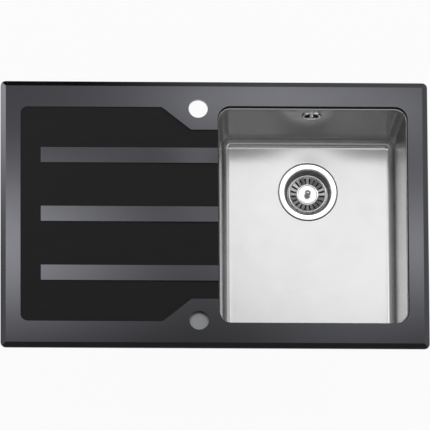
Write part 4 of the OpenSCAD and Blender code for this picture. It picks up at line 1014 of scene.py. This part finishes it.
class SINK_OT_clamps(bpy.types.Operator):
    """Makes the worktop clamps: pressed brackets and claws, and threaded screws with slotted hex heads"""
    bl_idname = "sink.clamps"
    bl_label = "Clamps"
    OUTWARD = (90, 90, 90, 0, -90, -90, -90, 180)
    HEAD_SIDES = 72
    SHAFT_SIDES = 24
    ROWS_A_TURN = 6

    def execute(self, context):
        s = context.scene.sink_clamp
        self.pressed("clamp_brackets", "sink", s)
        for k, outward in enumerate(self.OUTWARD, 1):
            self.pressed(f"clamp_claw_{k}", f"claw_{k}", s)
            low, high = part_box(f"clamp_screw_{k}")
            middle = node_middle(f"clamp_screw_{k}")[:2]
            head = self.head(s, f"screw_{k}", middle, low.z, math.radians(outward))
            shaft = self.shaft(s, f"screw_{k}", middle, low.z + s.head_height, high.z)
            for piece in (head, shaft):
                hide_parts(f"clamp_screw_{k}")
                finish_piece(piece, "zinc_steel")
        return {"FINISHED"}

    def pressed(self, node, body, s):
        finish_piece(cad_copy(node, node + "_pressed", body, s.arris), "zinc_steel")

    def head(self, s, screw, middle, low, outward):
        """A slotted hex head: radius = apothem / cos((t mod 60) - 30), held to a round at both faces."""
        t = angles(self.HEAD_SIDES)
        apothem = s.head * math.cos(math.pi / 6)
        hexagon = apothem / np.cos((t % (np.pi / 3)) - np.pi / 6)
        h, face, edge = s.head_height, apothem * 0.97, s.head * 0.985
        rows = [(0, 0.0), (0, face), (0.35 * MM, edge), (0.6 * MM, s.head), (h - 0.6 * MM, s.head),
                (h - 0.35 * MM, edge), (h, face), (h, 0.0)]
        radius = np.stack([np.minimum(hexagon, limit) for _, limit in rows])
        z = np.array([row[0] for row in rows])[:, None] + low
        points = round_points(middle, radius, t + outward, z)
        head = make_object(f"{screw}_head", points, grid_faces(len(rows), len(t), False, True), body=screw)
        along = np.array([math.cos(outward), math.sin(outward)]) * s.head * 1.2
        across = np.array([-math.sin(outward), math.cos(outward)]) * s.slot / 2
        plan = np.array([-along - across, along - across, along + across, -along + across]) + middle
        cut_with(head, make_object("cutter", *boxes([plan], low - 1 * MM, low + s.slot), body=None))
        return head

    def shaft(self, s, screw, middle, low, high):
        """A threaded shaft with a cone tip: radius = r - depth x triangle wave (height / pitch - turn)."""
        steps = int((high - low) / s.pitch * self.ROWS_A_TURN)
        z = np.linspace(low - 0.2 * MM, high, steps + 1)[:, None]
        t = angles(self.SHAFT_SIDES)
        phase = (z / s.pitch - t / (2 * np.pi)) % 1
        wave = np.clip(np.abs(phase - 0.5) * 2.6 - 0.15, 0, 1)
        radius = np.minimum(s.shaft - s.depth * wave, s.shaft - s.tip + np.maximum(high - z, 0))
        radius[[0, -1]] = 0
        z[[0, -1]] = z[[1, -2]]
        points = round_points(middle, radius, t, z)
        faces = grid_faces(len(points), len(t), False, True)
        return make_object(f"{screw}_thread", points, faces, sharp=50, body=screw)


class SINK_PT_panel(bpy.types.Panel):
    """Lists the sink's pieces and sizes"""
    bl_label = "Kitchen sink"
    bl_idname = "SINK_PT_panel"
    bl_space_type = "VIEW_3D"
    bl_region_type = "UI"
    bl_category = "Sink"

    def draw(self, context):
        for operator in OPERATORS:
            self.layout.operator(operator.bl_idname)
        for name, group in GROUPS.items():
            box = self.layout.box()
            for key in group.__annotations__:
                box.prop(getattr(context.scene, name), key)


OPERATORS = (SINK_OT_stage, SINK_OT_panel, SINK_OT_bowl, SINK_OT_overflow, SINK_OT_strainer, SINK_OT_clamps)
CLASSES = (*GROUPS.values(), *OPERATORS, SINK_PT_panel)


def register():
    for cls in CLASSES:
        bpy.utils.register_class(cls)
    for name, group in GROUPS.items():
        setattr(bpy.types.Scene, name, bpy.props.PointerProperty(type=group))


def unregister():
    for name in GROUPS:
        delattr(bpy.types.Scene, name)
    for cls in reversed(CLASSES):
        bpy.utils.unregister_class(cls)


def main():
    register()
    bpy.ops.sink.stage()
    bpy.ops.sink.panel()
    bpy.ops.sink.bowl()
    bpy.ops.sink.overflow()
    bpy.ops.sink.strainer()
    bpy.ops.sink.clamps()


if __name__ == "__main__":
    main()
